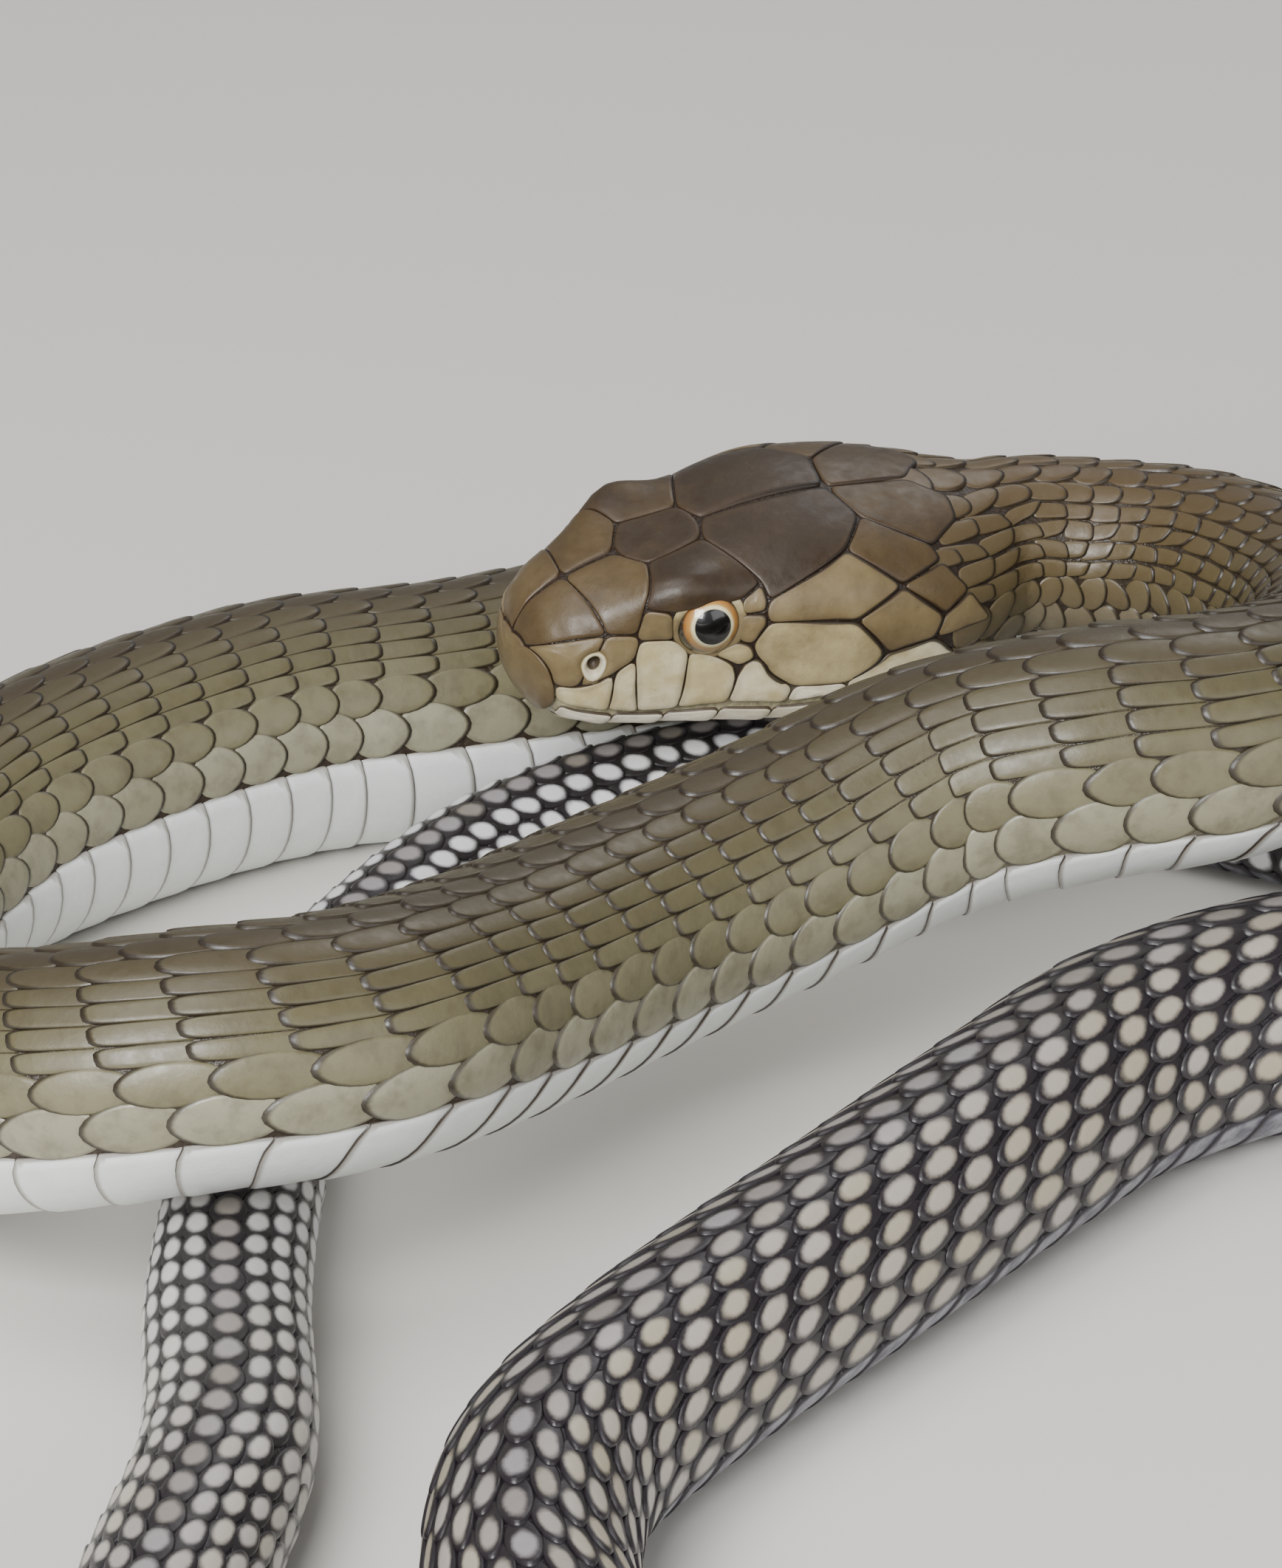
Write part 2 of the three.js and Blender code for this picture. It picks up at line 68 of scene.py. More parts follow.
NOSTRIL = {"back": 7.9, "angle": 9 * DEG, "radius": 1.75, "deep": 2.4}
NOSTRIL_RIM = {"ring": 1.7, "half": 0.4, "high": 0.25}

# Corners of the head shields on the left: distance back, and degrees round from the side upwards
CORNERS = {
    "mid1": (-0.35, 90), "mid2": (7.5, 90), "mid3": (16.2, 90), "mid4": (30.5, 90), "mid5": (53, 90),
    "mid6": (68, 90),
    "crown1": (19.2, 76), "crown2": (29, 82), "crown3": (54.7, 75), "crown4": (73, 78), "crown5": (72, 64),
    "nose1": (-0.05, 36), "nose2": (9.9, 30), "nose3": (15.5, 42), "nose4": (14.3, 25), "nose5": (14.8, 20),
    "nose6": (2.7, -6), "nose7": (5.9, -3), "nose8": (11.1, 2), "nose9": (14.1, 8),
    "eye1": (19.4, 36), "eye2": (20, 18), "eye3": (22.4, 9), "eye4": (25.9, 6), "eye5": (29.6, 12),
    "eye6": (30.3, 28), "eye7": (30.5, 37), "eye8": (34.2, 46),
    "temple1": (34.7, 34), "temple2": (34, 27), "temple3": (34.3, 21), "temple4": (31.8, 9),
    "temple5": (49.3, 58), "temple6": (56.9, 35), "temple7": (48.1, 18), "temple8": (64.8, 53),
    "temple9": (65.5, 45), "temple10": (64.1, 16), "temple11": (62.3, 5), "temple12": (53.4, 1),
    "temple13": (69.7, 27), "temple14": (74.2, 7),
    "cheek1": (32.6, 3), "cheek2": (30, 0), "cheek3": (35.2, -2), "cheek4": (38.7, -8),
    "cheek5": (47, -8),
    "lip1": (3.2, -22), "lip2": (10.9, -23), "lip3": (15.7, -25), "lip4": (21.7, -22),
    "lip5": (29.1, -17.5), "lip6": (38, -18.5), "lip7": (47.5, -14), "lip8": (67, -4),
    "chin1": (5, -88), "chin2": (5, -57), "chin3": (18, -55), "chin4": (20, -88), "chin5": (32, -57),
    "chin6": (35, -88), "chin7": (3, -50), "chin8": (2.4, -90),
}

# Shields on both sides of the head: name, shade from dark to pale, and corners in turn
PAIRED_SHIELDS = [
    ("internasal", 0.4, "mid1 mid2 nose2 nose1"),
    ("prefrontal", 0.38, "mid2 mid3 crown1 nose3 nose4 nose2"),
    ("supraocular", 0.22, "crown1 crown2 eye8 eye7 eye1 nose3"),
    ("parietal", 0.2, "mid4 mid5 crown3 temple5 temple1 eye8 crown2"),
    ("occipital", 0.24, "mid5 mid6 crown4 crown5 temple8 crown3"),
    ("preocular", 0.6, "nose3 eye1 eye2 nose5 nose4"),
    ("postocular_1", 0.6, "eye7 eye8 temple1 temple2 eye6"),
    ("postocular_2", 0.62, "eye6 temple2 temple3 temple4 eye5"),
    ("postocular_3", 0.75, "eye5 temple4 cheek1 cheek2 eye4"),
    ("temporal_1", 0.56, "temple1 temple5 temple6 temple7 temple3 temple2"),
    ("temporal_2", 0.73, "temple3 temple7 temple12 cheek5 cheek4 cheek3 cheek1 temple4"),
    ("temporal_3", 0.32, "temple5 crown3 temple8 temple9 temple6"),
    ("temporal_4", 0.58, "temple7 temple6 temple10 temple11 temple12"),
    ("temporal_5", 0.42, "temple6 temple9 temple13 temple10"),
    ("temporal_6", 0.56, "temple10 temple13 temple14 temple11"),
    ("prenasal", 0.6, "nose1 nose2 nose7 nose6"),
    ("postnasal", 0.66, "nose2 nose4 nose5 nose9 nose8 nose7"),
    ("upper_lip_1", 0.86, "nose6 nose7 nose8 lip2 lip1"),
    ("upper_lip_2", 0.84, "nose8 nose9 lip3 lip2"),
    ("upper_lip_3", 0.84, "nose9 nose5 eye2 eye3 lip4 lip3"),
    ("upper_lip_4", 0.88, "eye3 eye4 cheek2 lip5 lip4"),
    ("upper_lip_5", 0.90, "cheek2 cheek1 cheek3 cheek4 lip6 lip5"),
    ("upper_lip_6", 0.9, "cheek4 cheek5 lip7 lip6"),
    ("upper_lip_7", 0.90, "cheek5 temple12 temple11 lip8 lip7"),
    ("chin_shield_1", 0.9, "chin1 chin2 chin3 chin4"),
    ("chin_shield_2", 0.9, "chin4 chin3 chin5 chin6"),
]
FRONTAL = "mid3 crown1 crown2 mid4"
FRONTAL_SHADE = 0.2
ROSTRAL = "mid1 nose1 nose6 lip1 chin7 chin8"
ROSTRAL_SHADE = 0.5
LOWER_LIP = {"from": 4, "to": 61, "count": 7, "below": 3.5, "down": 26, "shade": 1.0}
MOUTH = np.array([
    [0, -28], [3.2, -25], [11, -26], [15.7, -28], [21.7, -25], [29.1, -20.5], [38, -21.5], [47.5, -17],
    [58, -11.5], [66, -7],
])
SHIELD_SEAM = 0.09
SHIELD_RISE = 0.5
SHIELD_TILT = 0.25
SHIELD_CROWN = 1.25  # height of a shield's middle in shares of its rise
DARK_SEAMS = (24, 40)  # the seams darken between these distances back
ROSTRAL_POINTS = 120
SHIELD_POINT = 0.6  # distance between the points of a shield's edge
CORNER_ROUND = 1.1
RADIUS_OF_HEAD = 17.0

# Body route from the back of the head to the tail tip: x, y, belly height and girth radius
ROUTE = np.array([
    [33.5, -26.3, 30.2, 15.8], [55.5, -9.2, 31.6, 15.6], [74.9, -6.1, 30.6, 15.4], [92.8, -14.5, 31, 15.8],
    [105.8, -33.6, 31.6, 16.4], [109.3, -56, 33, 17.4], [103, -78.5, 34.4, 18.5], [88, -93.5, 36, 19.2],
    [67, -97.5, 34.4, 19.6], [44, -98, 28.4, 19.7], [21.5, -107, 21.4, 19.5], [0, -123, 18.6, 19.3],
    [-22, -148.5, 20.6, 19.2], [-41, -171, 25.3, 19.1], [-62, -178.5, 25.9, 19.1], [-87, -173.5, 20, 19.1],
    [-109, -155, 10.5, 19.2], [-122, -128, 3.4, 19.4], [-123, -97, 0, 19.7], [-110, -66, 0, 20.4],
    [-88, -41, 0, 21.2], [-59.5, -20.5, 0, 21.4], [-30, -10, 0, 20.9], [2, 4.5, 0, 20.9],
    [38, 22, 0, 21], [68, 26, 0, 21.1], [92, 18.5, 0, 21.3], [120, 4, 0, 21.4],
    [156, 2, 0, 21.6], [198, 16, 0, 21.9], [228, 54, 0, 22.1], [232, 100, 0, 22.3],
    [232, 148, 0, 22.5], [258, 186, 0, 22.6], [302, 194, 0, 22.8], [342, 164, 0, 23],
    [352, 116, 0, 23], [336, 68, 0, 23], [334, 20, 0, 22.9], [364, -26, 0, 22.8],
    [396, -72, 0, 22.6], [396, -124, 0, 22.2], [360, -162, 0, 21.8], [308, -166, 0, 21.2],
    [256, -142, 0, 20.6], [202, -122, 0, 20], [150, -112, 0, 19.2], [106, -111, 0, 18.4],
    [75, -126, 0, 17.8], [54, -150, 0, 17.2], [30, -181, 0, 16.6], [4.7, -214, 0, 16],
    [-11.5, -242, 0, 15.4], [-14.5, -270, 0, 14.9], [-11, -298, 0, 14.5], [-18, -324, 0, 14.2],
    [-38, -338, 0, 13.9], [-58, -327, 0, 13.6], [-66, -302, 0, 13.3], [-62, -268, 0, 12.9],
    [-56.5, -232, 0, 12.5], [-58.5, -192, 0, 12.1], [-57.5, -152, 0, 11.7], [-54, -112, 0, 11.3],
    [-42, -79, 0, 11.1], [-23.5, -49.5, 1.2, 10.9], [1, -31.5, 3.2, 10.7], [28, -23, 4.6, 10.5],
    [50, -13.5, 3.6, 10.3], [75, -18, 1, 9.9], [108, -36, 0, 9], [146, -51, 0, 7.7],
    [188, -58, 0, 6], [230, -52, 0, 4.3], [266, -32, 0, 2.7], [294, -6, 0, 1.3],
])
BELLY_SINK = 0.93
MIDDLE = np.array([142.6, -67.5, 0.0])
VENT = 2060

# How far the belly is turned to the animal's left, and where on each side the belly scutes begin
BODY_ROLL = np.array([
    [0, -11], [110, -3], [200, 0], [420, 0], [480, 8], [570, 8], [700, 0], [1800, -8], [1960, -8], [2040, 0],
])
BELLY_FROM = np.array([
    [0, 118], [170, 113], [290, 101], [400, 99], [480, 90], [570, 90], [700, 110], [1500, 116], [2700, 122],
])

# Coat: how deep it is over the skin, how long each scale is and how each row's scales step back
COAT_DEPTH = 0.75
COAT_SHARE = 0.065
SCALE_PITCH = np.array([
    [-60, 6.3], [0, 6.7], [90, 7.8], [160, 9.3], [300, 9.5], [480, 8.8], [650, 9.0], [1500, 9.5],
    [1950, 9.6], [2050, 8.2], [2150, 7.0], [2300, 5.9], [2450, 5.4], [2560, 4.2], [2700, 2.6],
])
ROW_STEP = np.array([
    [0, 0], [120, -0.07], [420, -0.07], [480, -0.06], [650, 0.0], [1300, 0.1], [1700, 0.42], [2700, 0.5],
])

# Stretches of the coat: first and last distance and rows of back scales
STRETCHES = [
    ("coat_neck", -60, 100, 15),
    ("coat_front_1", 100, 380, 15),
    ("coat_front_2", 380, 640, 15),
    ("coat_middle_1", 640, 960, 15),
    ("coat_middle_2", 960, 1280, 15),
    ("coat_middle_3", 1280, 1600, 15),
    ("coat_rear_1", 1600, 1830, 15),
    ("coat_rear_2", 1830, 2045, 15),
    ("coat_tail_1", 2045, 2130, 13),
    ("coat_tail_2", 2130, 2250, 11),
    ("coat_tail_3", 2250, 2450, 9),
    ("coat_tail_4", 2450, 2570, 7),
    ("coat_tail_5", 2570, 2680, 5),
]
PALE_FROM = 1250
PALE_TO = 1750
SCALES_CHANGE = (700, 1500)  # back scales pass from narrow plates to diamonds between these distances


# Small helpers
def smooth(x, low, high):
    t = np.clip((x - low) / (high - low), 0, 1)
    return t * t * (3 - 2 * t)


def table(rows, at, column=1):
    return np.interp(at, rows[:, 0], rows[:, column])


def smooth_table(rows, at):
    """Every column of a table at a first value, on a curve through the rows."""
    x = rows[:, 0]
    slope = np.gradient(rows[:, 1:], x, axis=0)
    i = np.clip(np.searchsorted(x, at, side="right") - 1, 0, len(x) - 2)
    width = x[i + 1] - x[i]
    t = np.clip((at - x[i]) / width, 0, 1)[..., None]
    width = width[..., None]
    start, end = rows[i, 1:], rows[i + 1, 1:]
    rise = end - start
    m0, m1 = slope[i] * width, slope[i + 1] * width
    value = start + t * (m0 + t * ((3 * rise - 2 * m0 - m1) + t * (m0 + m1 - 2 * rise)))
    return np.moveaxis(value, -1, 0)


def full_turn(count):
    """Even angles once round."""
    return np.arange(count) / count * 2 * math.pi


def join(values):
    return {label: np.concatenate(parts) for label, parts in values.items()}


# The head's surface
def head_swell(back, angle):
    def one_side(a):
        around = np.arctan2(np.sin(a - BROW["angle"]), np.cos(a - BROW["angle"]))
        return np.exp(-(((back - BROW["back"]) / BROW["reach"]) ** 2) - (around / BROW["spread"]) ** 2)

    return 1 + BROW["swell"] * (one_side(angle) + one_side(math.pi - angle))


def head_point(back, angle):
    """Points of the head; back runs from -1 at the middle of the snout through 0 at its rim."""
    back, angle = np.broadcast_arrays(np.asarray(back, float), np.asarray(angle, float))
    half, top, bottom, square = smooth_table(HEAD_STATIONS, np.clip(back, 0, HEAD_LENGTH))
    blunt = np.clip(1 + back, 0, 1)
    c, s = np.cos(angle), np.sin(angle)
    out = half * np.sign(c) * np.abs(c) ** (2 / square) * blunt
    rise = (top - bottom) / 2 * np.sign(s) * np.abs(s) ** (2 / square) * blunt
    swell = head_swell(back, angle)
    ahead = SNOUT_DOME * (1 - blunt ** 2)
    along = np.clip(back, 0, None) - ahead
    up = (top + bottom) / 2 + rise
    place = SNOUT + along[..., None] * BACK
    return place + (out * swell)[..., None] * LEFT + (up * swell)[..., None] * CROWN


def head_normal(back, angle):
    step, turn = 0.25, 1.5 * DEG
    along = head_point(back + step, angle) - head_point(back - step, angle)
    around = head_point(back, angle + turn) - head_point(back, angle - turn)
    normal = np.cross(along, around)
    length = np.linalg.norm(normal, axis=-1, keepdims=True)
    return np.where(length > 1e-9, normal / np.maximum(length, 1e-9), -BACK)


def mirrored_angle(angle):
    """The angle folded onto the left side."""
    return np.arctan2(np.sin(angle), np.abs(np.cos(angle)))


NOSTRIL_PLACE = head_point(NOSTRIL["back"], NOSTRIL["angle"])
EYE_PLACE = SNOUT + EYE["back"] * BACK + EYE["out"] * LEFT + EYE["up"] * CROWN
GAZE = LEFT + 0.3 * CROWN - 0.2 * BACK
GAZE = GAZE / np.linalg.norm(GAZE)


def fold_left(place):
    """Places mirrored onto the left half of the head."""
    out = (place - SNOUT) @ LEFT
    return place - ((out - np.abs(out))[..., None]) * LEFT


def head_relief(place, normal, back, angle, on_skin):
    """Pits of the nostrils, sockets of the eyes and the line of the mouth."""
    left = fold_left(place)
    pit = np.linalg.norm(left - NOSTRIL_PLACE, axis=-1) / NOSTRIL["radius"]
    rim = np.exp(-(((pit - NOSTRIL_RIM["ring"]) / NOSTRIL_RIM["half"]) ** 2))
    depth = NOSTRIL["deep"] * np.exp(-pit ** 4) - NOSTRIL_RIM["high"] * rim
    if on_skin:
        off_axis = left - EYE_PLACE
        ahead = off_axis @ GAZE
        ring = np.linalg.norm(off_axis - ahead[..., None] * GAZE, axis=-1)
        inside = 1 - smooth(ring, SOCKET["inner"], SOCKET["outer"])
        depth = depth + SOCKET["deep"] * inside * (ahead > 0)
        line = table(MOUTH, back) * DEG
        apart = (mirrored_angle(angle) - line) * RADIUS_OF_HEAD
        groove = np.exp(-((apart / LIP_GROOVE["half"]) ** 2)) * (back < MOUTH[-1, 0])
        depth = depth + LIP_GROOVE["deep"] * groove
    return place - depth[..., None] * normal


def head_surface(back, angle, lift, on_skin=False):
    place = head_point(back, angle)
    normal = head_normal(back, angle)
    tuck = COAT_DEPTH * smooth(back, 64, HEAD_LENGTH)
    place = place + (lift - tuck)[..., None] * normal
    return head_relief(place, normal, back, angle, on_skin)


# The body's surface
def curve_through(points, spots):
    """The smooth curve through the rows and its slope, at places counted in rows."""
    padded = np.vstack([2 * points[0] - points[1], points, 2 * points[-1] - points[-2]])
    i = np.clip(spots.astype(int), 0, len(points) - 2)
    t = (spots - i)[:, None]
    before, start, end, after = (padded[i + k] for k in range(4))
    m0, m1 = (end - before) / 2, (after - start) / 2
    a = 2 * start - 2 * end + m0 + m1
    b = 3 * end - 3 * start - 2 * m0 - m1
    return ((a * t + b) * t + m0) * t + start, (3 * a * t + 2 * b) * t + m0


axis_rows = np.column_stack([ROUTE[:, 0], ROUTE[:, 1], ROUTE[:, 2] + BELLY_SINK * ROUTE[:, 3]])
axis_spots = np.linspace(1, len(ROUTE) - 1, 6000)
axis_points, axis_slopes = curve_through(axis_rows, axis_spots)
axis_steps = np.linalg.norm(np.diff(axis_points, axis=0), axis=1)
axis_distance = np.concatenate([[0], np.cumsum(axis_steps)])
axis_along = axis_slopes / np.linalg.norm(axis_slopes, axis=1, keepdims=True)
axis_radius = np.interp(axis_spots, np.arange(len(ROUTE)), ROUTE[:, 3])
BODY_LENGTH = axis_distance[-1]


def body_radius(distance):
    return np.interp(distance, axis_distance, axis_radius)


def coat_depth(distance):
    return np.minimum(COAT_DEPTH, COAT_SHARE * body_radius(distance))


def body_surface(distance, turn, lift):
    """Places on the body: turn runs round from the middle of the back to the animal's left."""
    def at(values):
        return np.stack([np.interp(distance, axis_distance, values[:, k]) for k in range(3)], -1)

    centre, along = at(axis_points), at(axis_along)
    up = UP - along * along[..., 2:]
    up = up / np.linalg.norm(up, axis=-1, keepdims=True)
    left = np.cross(along, up)
    reach = body_radius(distance) - coat_depth(distance) + lift
    angle = turn - table(BODY_ROLL, distance) * DEG
    place = centre + (reach * np.cos(angle))[..., None] * up + (reach * np.sin(angle))[..., None] * left
    floor = 0.62 - 0.75 * lift
    place[..., 2] = np.maximum(place[..., 2], np.maximum(floor, 0.02))
    return place


def surface(distance, turn, lift, on_skin=False):
    """Places on the whole animal; a distance below 0 lies on the head."""
    distance, turn, lift = np.broadcast_arrays(distance, turn, lift)
    place = body_surface(np.maximum(distance, 0), turn, lift)
    on_head = distance < 0
    if on_head.any():
        back = HEAD_LENGTH + distance[on_head]
        place[on_head] = head_surface(back, math.pi / 2 - turn[on_head], lift[on_head], on_skin)
    return place


# Meshes
def make_mesh(name, points, faces, values, uv):
    """An object from points in millimetres, triangles, named values per point and a map per point."""
    mesh = bpy.data.meshes.new(name)
    mesh.vertices.add(len(points))
    mesh.vertices.foreach_set("co", ((points - MIDDLE) * MM).astype(np.float32).ravel())
    mesh.loops.add(faces.size)
    mesh.loops.foreach_set("vertex_index", faces.astype(np.int32).ravel())
    mesh.polygons.add(len(faces))
    mesh.polygons.foreach_set("loop_start", np.arange(0, faces.size, 3, dtype=np.int32))
    mesh.update(calc_edges=True)
    for label, numbers in values.items():
        attribute = mesh.attributes.new(label, "FLOAT", "POINT")
        attribute.data.foreach_set("value", numbers.astype(np.float32).ravel())
    layer = mesh.uv_layers.new(name="OFBake")
    layer.data.foreach_set("uv", uv[faces.ravel()].astype(np.float32).ravel())
    mesh.validate()
    mesh.shade_smooth()
    thing = bpy.data.objects.new(name, mesh)
    bpy.context.scene.collection.objects.link(thing)
    return thing


def ring_faces(rings, count, closed_end):
    """Triangles between rings of points, the last ring being one point where the end is closed."""
    k = np.arange(count)
    after = (k + 1) % count
    faces = []
    for i in range(rings - 1):
        a, b = i * count + k, i * count + after
        faces.append(np.column_stack([a, b, b + count]))
        faces.append(np.column_stack([a, b + count, a + count]))
    if closed_end:
        a, b = (rings - 1) * count + k, (rings - 1) * count + after
        faces.append(np.column_stack([a, b, np.full(count, rings * count)]))
    return np.vstack(faces)


def facing(faces, side):
    """Triangles turned over where they are on the right side."""
    return faces if side > 0 else faces[:, ::-1]


def repeat_faces(faces, points_each, copies):
    shift = np.arange(copies)[:, None, None] * points_each
    return (faces[None] + shift).reshape(-1, 3)


# Skin: one tube from the snout to the tip of the tail
SKIN_SIDES = 128
SKIN_STEP = 6.0


def make_skin():
    snout = np.linspace(-1, 0, 6)[:-1]
    front = np.linspace(0, HEAD_LENGTH, 190)[:-1]
    head_rows = np.concatenate([snout, front]) - HEAD_LENGTH
    body_rows = np.linspace(0, BODY_LENGTH, int(BODY_LENGTH / SKIN_STEP))
    rows = np.concatenate([head_rows, body_rows])
    turns = full_turn(SKIN_SIDES)
    distance, turn = np.meshgrid(rows, turns, indexing="ij")
    place = surface(distance, turn, np.zeros_like(distance), on_skin=True)
    points = place.reshape(-1, 3)
    tip = points[-SKIN_SIDES:].mean(axis=0, keepdims=True)
    points = np.vstack([points, tip])
    faces = ring_faces(len(rows), SKIN_SIDES, True)
    along = np.append(np.repeat(np.linspace(0, 1, len(rows)), SKIN_SIDES), 1)
    round_share = np.append(turn.ravel() / (2 * math.pi), 0.5)
    values = {
        "distance": np.append(distance.ravel(), BODY_LENGTH),
        "side": np.append(np.abs(np.arctan2(np.sin(turn), np.cos(turn))).ravel() / math.pi, 0),
    }
    return make_mesh("skin", points, faces, values, np.column_stack([along, round_share]))


# Head shields
def corner_list(names):
    return np.array([CORNERS[name] for name in names.split()]) * [1, DEG]


def mirror(corners):
    return np.column_stack([corners[:, 0], math.pi - corners[:, 1]])[::-1]


def rounded_edge(corners):
    """The edge of a shield with rounded corners, in even steps."""
    flat = corners * [1, RADIUS_OF_HEAD]
    count = len(flat)
    path = []
    for i in range(count):
        here, before, after = flat[i], flat[i - 1], flat[(i + 1) % count]
        to_before, to_after = before - here, after - here
        reach_before, reach_after = np.linalg.norm(to_before), np.linalg.norm(to_after)
        start = here + to_before * min(CORNER_ROUND / reach_before, 0.35)
        end = here + to_after * min(CORNER_ROUND / reach_after, 0.35)
        for t in np.linspace(0, 1, 5):
            path.append((1 - t) ** 2 * start + 2 * t * (1 - t) * here + t ** 2 * end)
    path = np.array(path + [path[0]])
    steps = np.concatenate([[0], np.cumsum(np.linalg.norm(np.diff(path, axis=0), axis=1))])
    pieces = max(14, int(steps[-1] / SHIELD_POINT))
    spots = np.arange(pieces) / pieces * steps[-1]
    even = np.column_stack([np.interp(spots, steps, path[:, k]) for k in range(2)])
    return even / [1, RADIUS_OF_HEAD]


SHIELD_RINGS = [(0.0, -0.3), (0.05, 0.5), (0.15, 0.8), (0.38, 0.97), (0.85, 1.04)]
SHIELD_SHARES = [0.3, 0.55, 0.78, 0.92]


def shield_points(edge, centre, centre_of):
    """Rings of a shield from its edge to its middle: places on the head, height and depth inside."""
    edge_places = head_point(edge[:, 0], edge[:, 1])
    middle = head_point(*centre)
    reach = np.linalg.norm(edge_places - middle, axis=1)
    level = np.clip((edge[:, 0] - edge[:, 0].min()) / np.ptp(edge[:, 0]), 0, 1)
    spots, lifts, inside = [], [], []
    for offset, height in SHIELD_RINGS:
        share = np.minimum((offset + SHIELD_SEAM) / reach, 0.6)
        spots.append(centre_of(edge, share[:, None]))
        lifts.append(SHIELD_RISE * height + SHIELD_TILT * (level - 0.5) * max(height, 0))
        inside.append(np.full(len(edge), offset))
    last = np.minimum((SHIELD_RINGS[-1][0] + SHIELD_SEAM) / reach, 0.6)
    for share in SHIELD_SHARES:
        spots.append(centre_of(edge, (last + (1 - last) * share)[:, None]))
        ease = 1 - share
        lifts.append(SHIELD_RISE * (1.04 + 0.2 * share) + SHIELD_TILT * (level - 0.5) * ease)
        inside.append(SHIELD_RINGS[-1][0] + reach * share * 0.8)
    return np.array(spots), np.array(lifts), np.array(inside)


def raise_shield(edge, centre, toward):
    """A shield's mesh from its edge, its middle and the way from the one to the other."""
    spots, lifts, inside = shield_points(edge, centre, toward)
    flat = spots.reshape(-1, 2)
    back = np.append(flat[:, 0], centre[0])
    angle = np.append(flat[:, 1], centre[1])
    lift = np.append(lifts.ravel(), SHIELD_RISE * SHIELD_CROWN)
    depth = np.append(inside.ravel(), inside.max() + 1)
    faces = ring_faces(len(spots), len(edge), True)
    return head_surface(back, angle, lift), faces, back, angle, depth


def make_shield(corners):
    edge = rounded_edge(corners)
    centre = edge.mean(axis=0)

    def toward(spots, share):
        return spots + (centre - spots) * share

    return raise_shield(edge, centre, toward)


def make_rostral():
    """The shield over the tip of the snout, closed toward the middle of the blunt front."""
    left = corner_list(ROSTRAL)
    right = np.column_stack([left[:-1, 0], -math.pi - left[:-1, 1]])[::-1]
    path = np.vstack([left, right])
    spots = np.linspace(0, len(path) - 1, ROSTRAL_POINTS + 1)[:-1]
    edge = np.column_stack([np.interp(spots, np.arange(len(path)), path[:, k]) for k in range(2)])
    centre = np.array([-1.0, math.pi / 2])

    def toward(places, share):
        return np.column_stack([places[:, 0] + (-1 - places[:, 0]) * share[:, 0], places[:, 1]])

    return raise_shield(edge, centre, toward)


def lower_lip_corners():
    pitch = (LOWER_LIP["to"] - LOWER_LIP["from"]) / LOWER_LIP["count"]
    for i in range(LOWER_LIP["count"]):
        ends = LOWER_LIP["from"] + pitch * np.array([i, i + 1])
        line = table(MOUTH, ends)
        top, foot = line - LOWER_LIP["below"], line - LOWER_LIP["down"]
        yield np.array([
            [ends[0], top[0]], [ends[1], top[1]], [ends[1], foot[1]], [ends[0], foot[0]],
        ]) * [1, DEG]


def all_shields():
    """Every shield's mesh with its shade, in turn."""
    outlines = []
    for _, shade, names in PAIRED_SHIELDS:
        corners = corner_list(names)
        outlines += [(corners, shade), (mirror(corners), shade)]
    for corners in lower_lip_corners():
        outlines += [(corners, LOWER_LIP["shade"]), (mirror(corners), LOWER_LIP["shade"])]
    frontal = corner_list(FRONTAL)
    outlines.append((np.vstack([frontal, mirror(frontal)[1:-1]]), FRONTAL_SHADE))
    return [(make_shield(corners), shade) for corners, shade in outlines] + [(make_rostral(), ROSTRAL_SHADE)]


def make_head_shields():
    points, faces, uv = [], [], []
    values = {"edge": [], "shade": [], "tone": [], "rear": []}
    start = 0
    for (places, part_faces, back, angle, depth), shade in all_shields():
        points.append(places)
        faces.append(part_faces + start)
        start += len(places)
        behind = (back - back.min()) / np.ptp(back)
        values["edge"].append(depth)
        values["shade"].append(np.full(len(places), shade))
        values["tone"].append(np.full(len(places), draw.random()))
        values["rear"].append(behind * (np.sin(angle) > -0.1) * smooth(back, *DARK_SEAMS))
        uv.append(np.column_stack([(back + 2) / 88, (np.degrees(angle) + 275) / 560]))
    return make_mesh("head_shields", np.vstack(points), np.vstack(faces), join(values), np.vstack(uv))


# Body scales
SCALE_SPOKES = 22
SCALE_RINGS = np.array([1.0, 0.95, 0.82, 0.5])
ROW_GAP = 0.985  # share of a row's width that its scales take
SCALE_REACH = 1.3  # length of a scale for each step along its row, the rest lies under the one before
LOOSE = {"from": 0, "to": 110, "narrow": 0.07, "sway": 0.16, "slide": 0.12}  # scales of the slack neck
UNEVEN = {"length": 0.03, "width": 0.01, "height": 0.05}
ROW_LEAN = 0.4  # how far a scale's rear end leans with the step of its row
SPOT = {"middle": 0.18, "long": 0.74, "wide": 0.84}  # the pale spot in shares of a scale's halves
BACK_LIFT = (0.08, 0.92)  # height of a back scale's front and rear in shares of the coat's depth
BELLY_LIFT = (0.05, 0.8)
SCUTE = {"bow": 0.16, "cut": 0.25, "wide": 0.99, "starts": 38}
SCUTE_ALONG = np.array([-1, -0.97, -0.5, 0, 0.5, 0.8, 0.93, 0.975, 1])
SCUTE_ACROSS = np.concatenate([[-1], np.linspace(-0.985, 0.985, 25), [1]])

# Where the head shields end and scales begin: degrees round from the crown, distance back
SHIELDS_END = np.array([
    [0, 68], [14, 72], [27, 71], [38, 64], [50, 66], [62, 70], [80, 73], [92, 66], [100, 65], [106, 61],
    [112, 38], [180, 38],
])


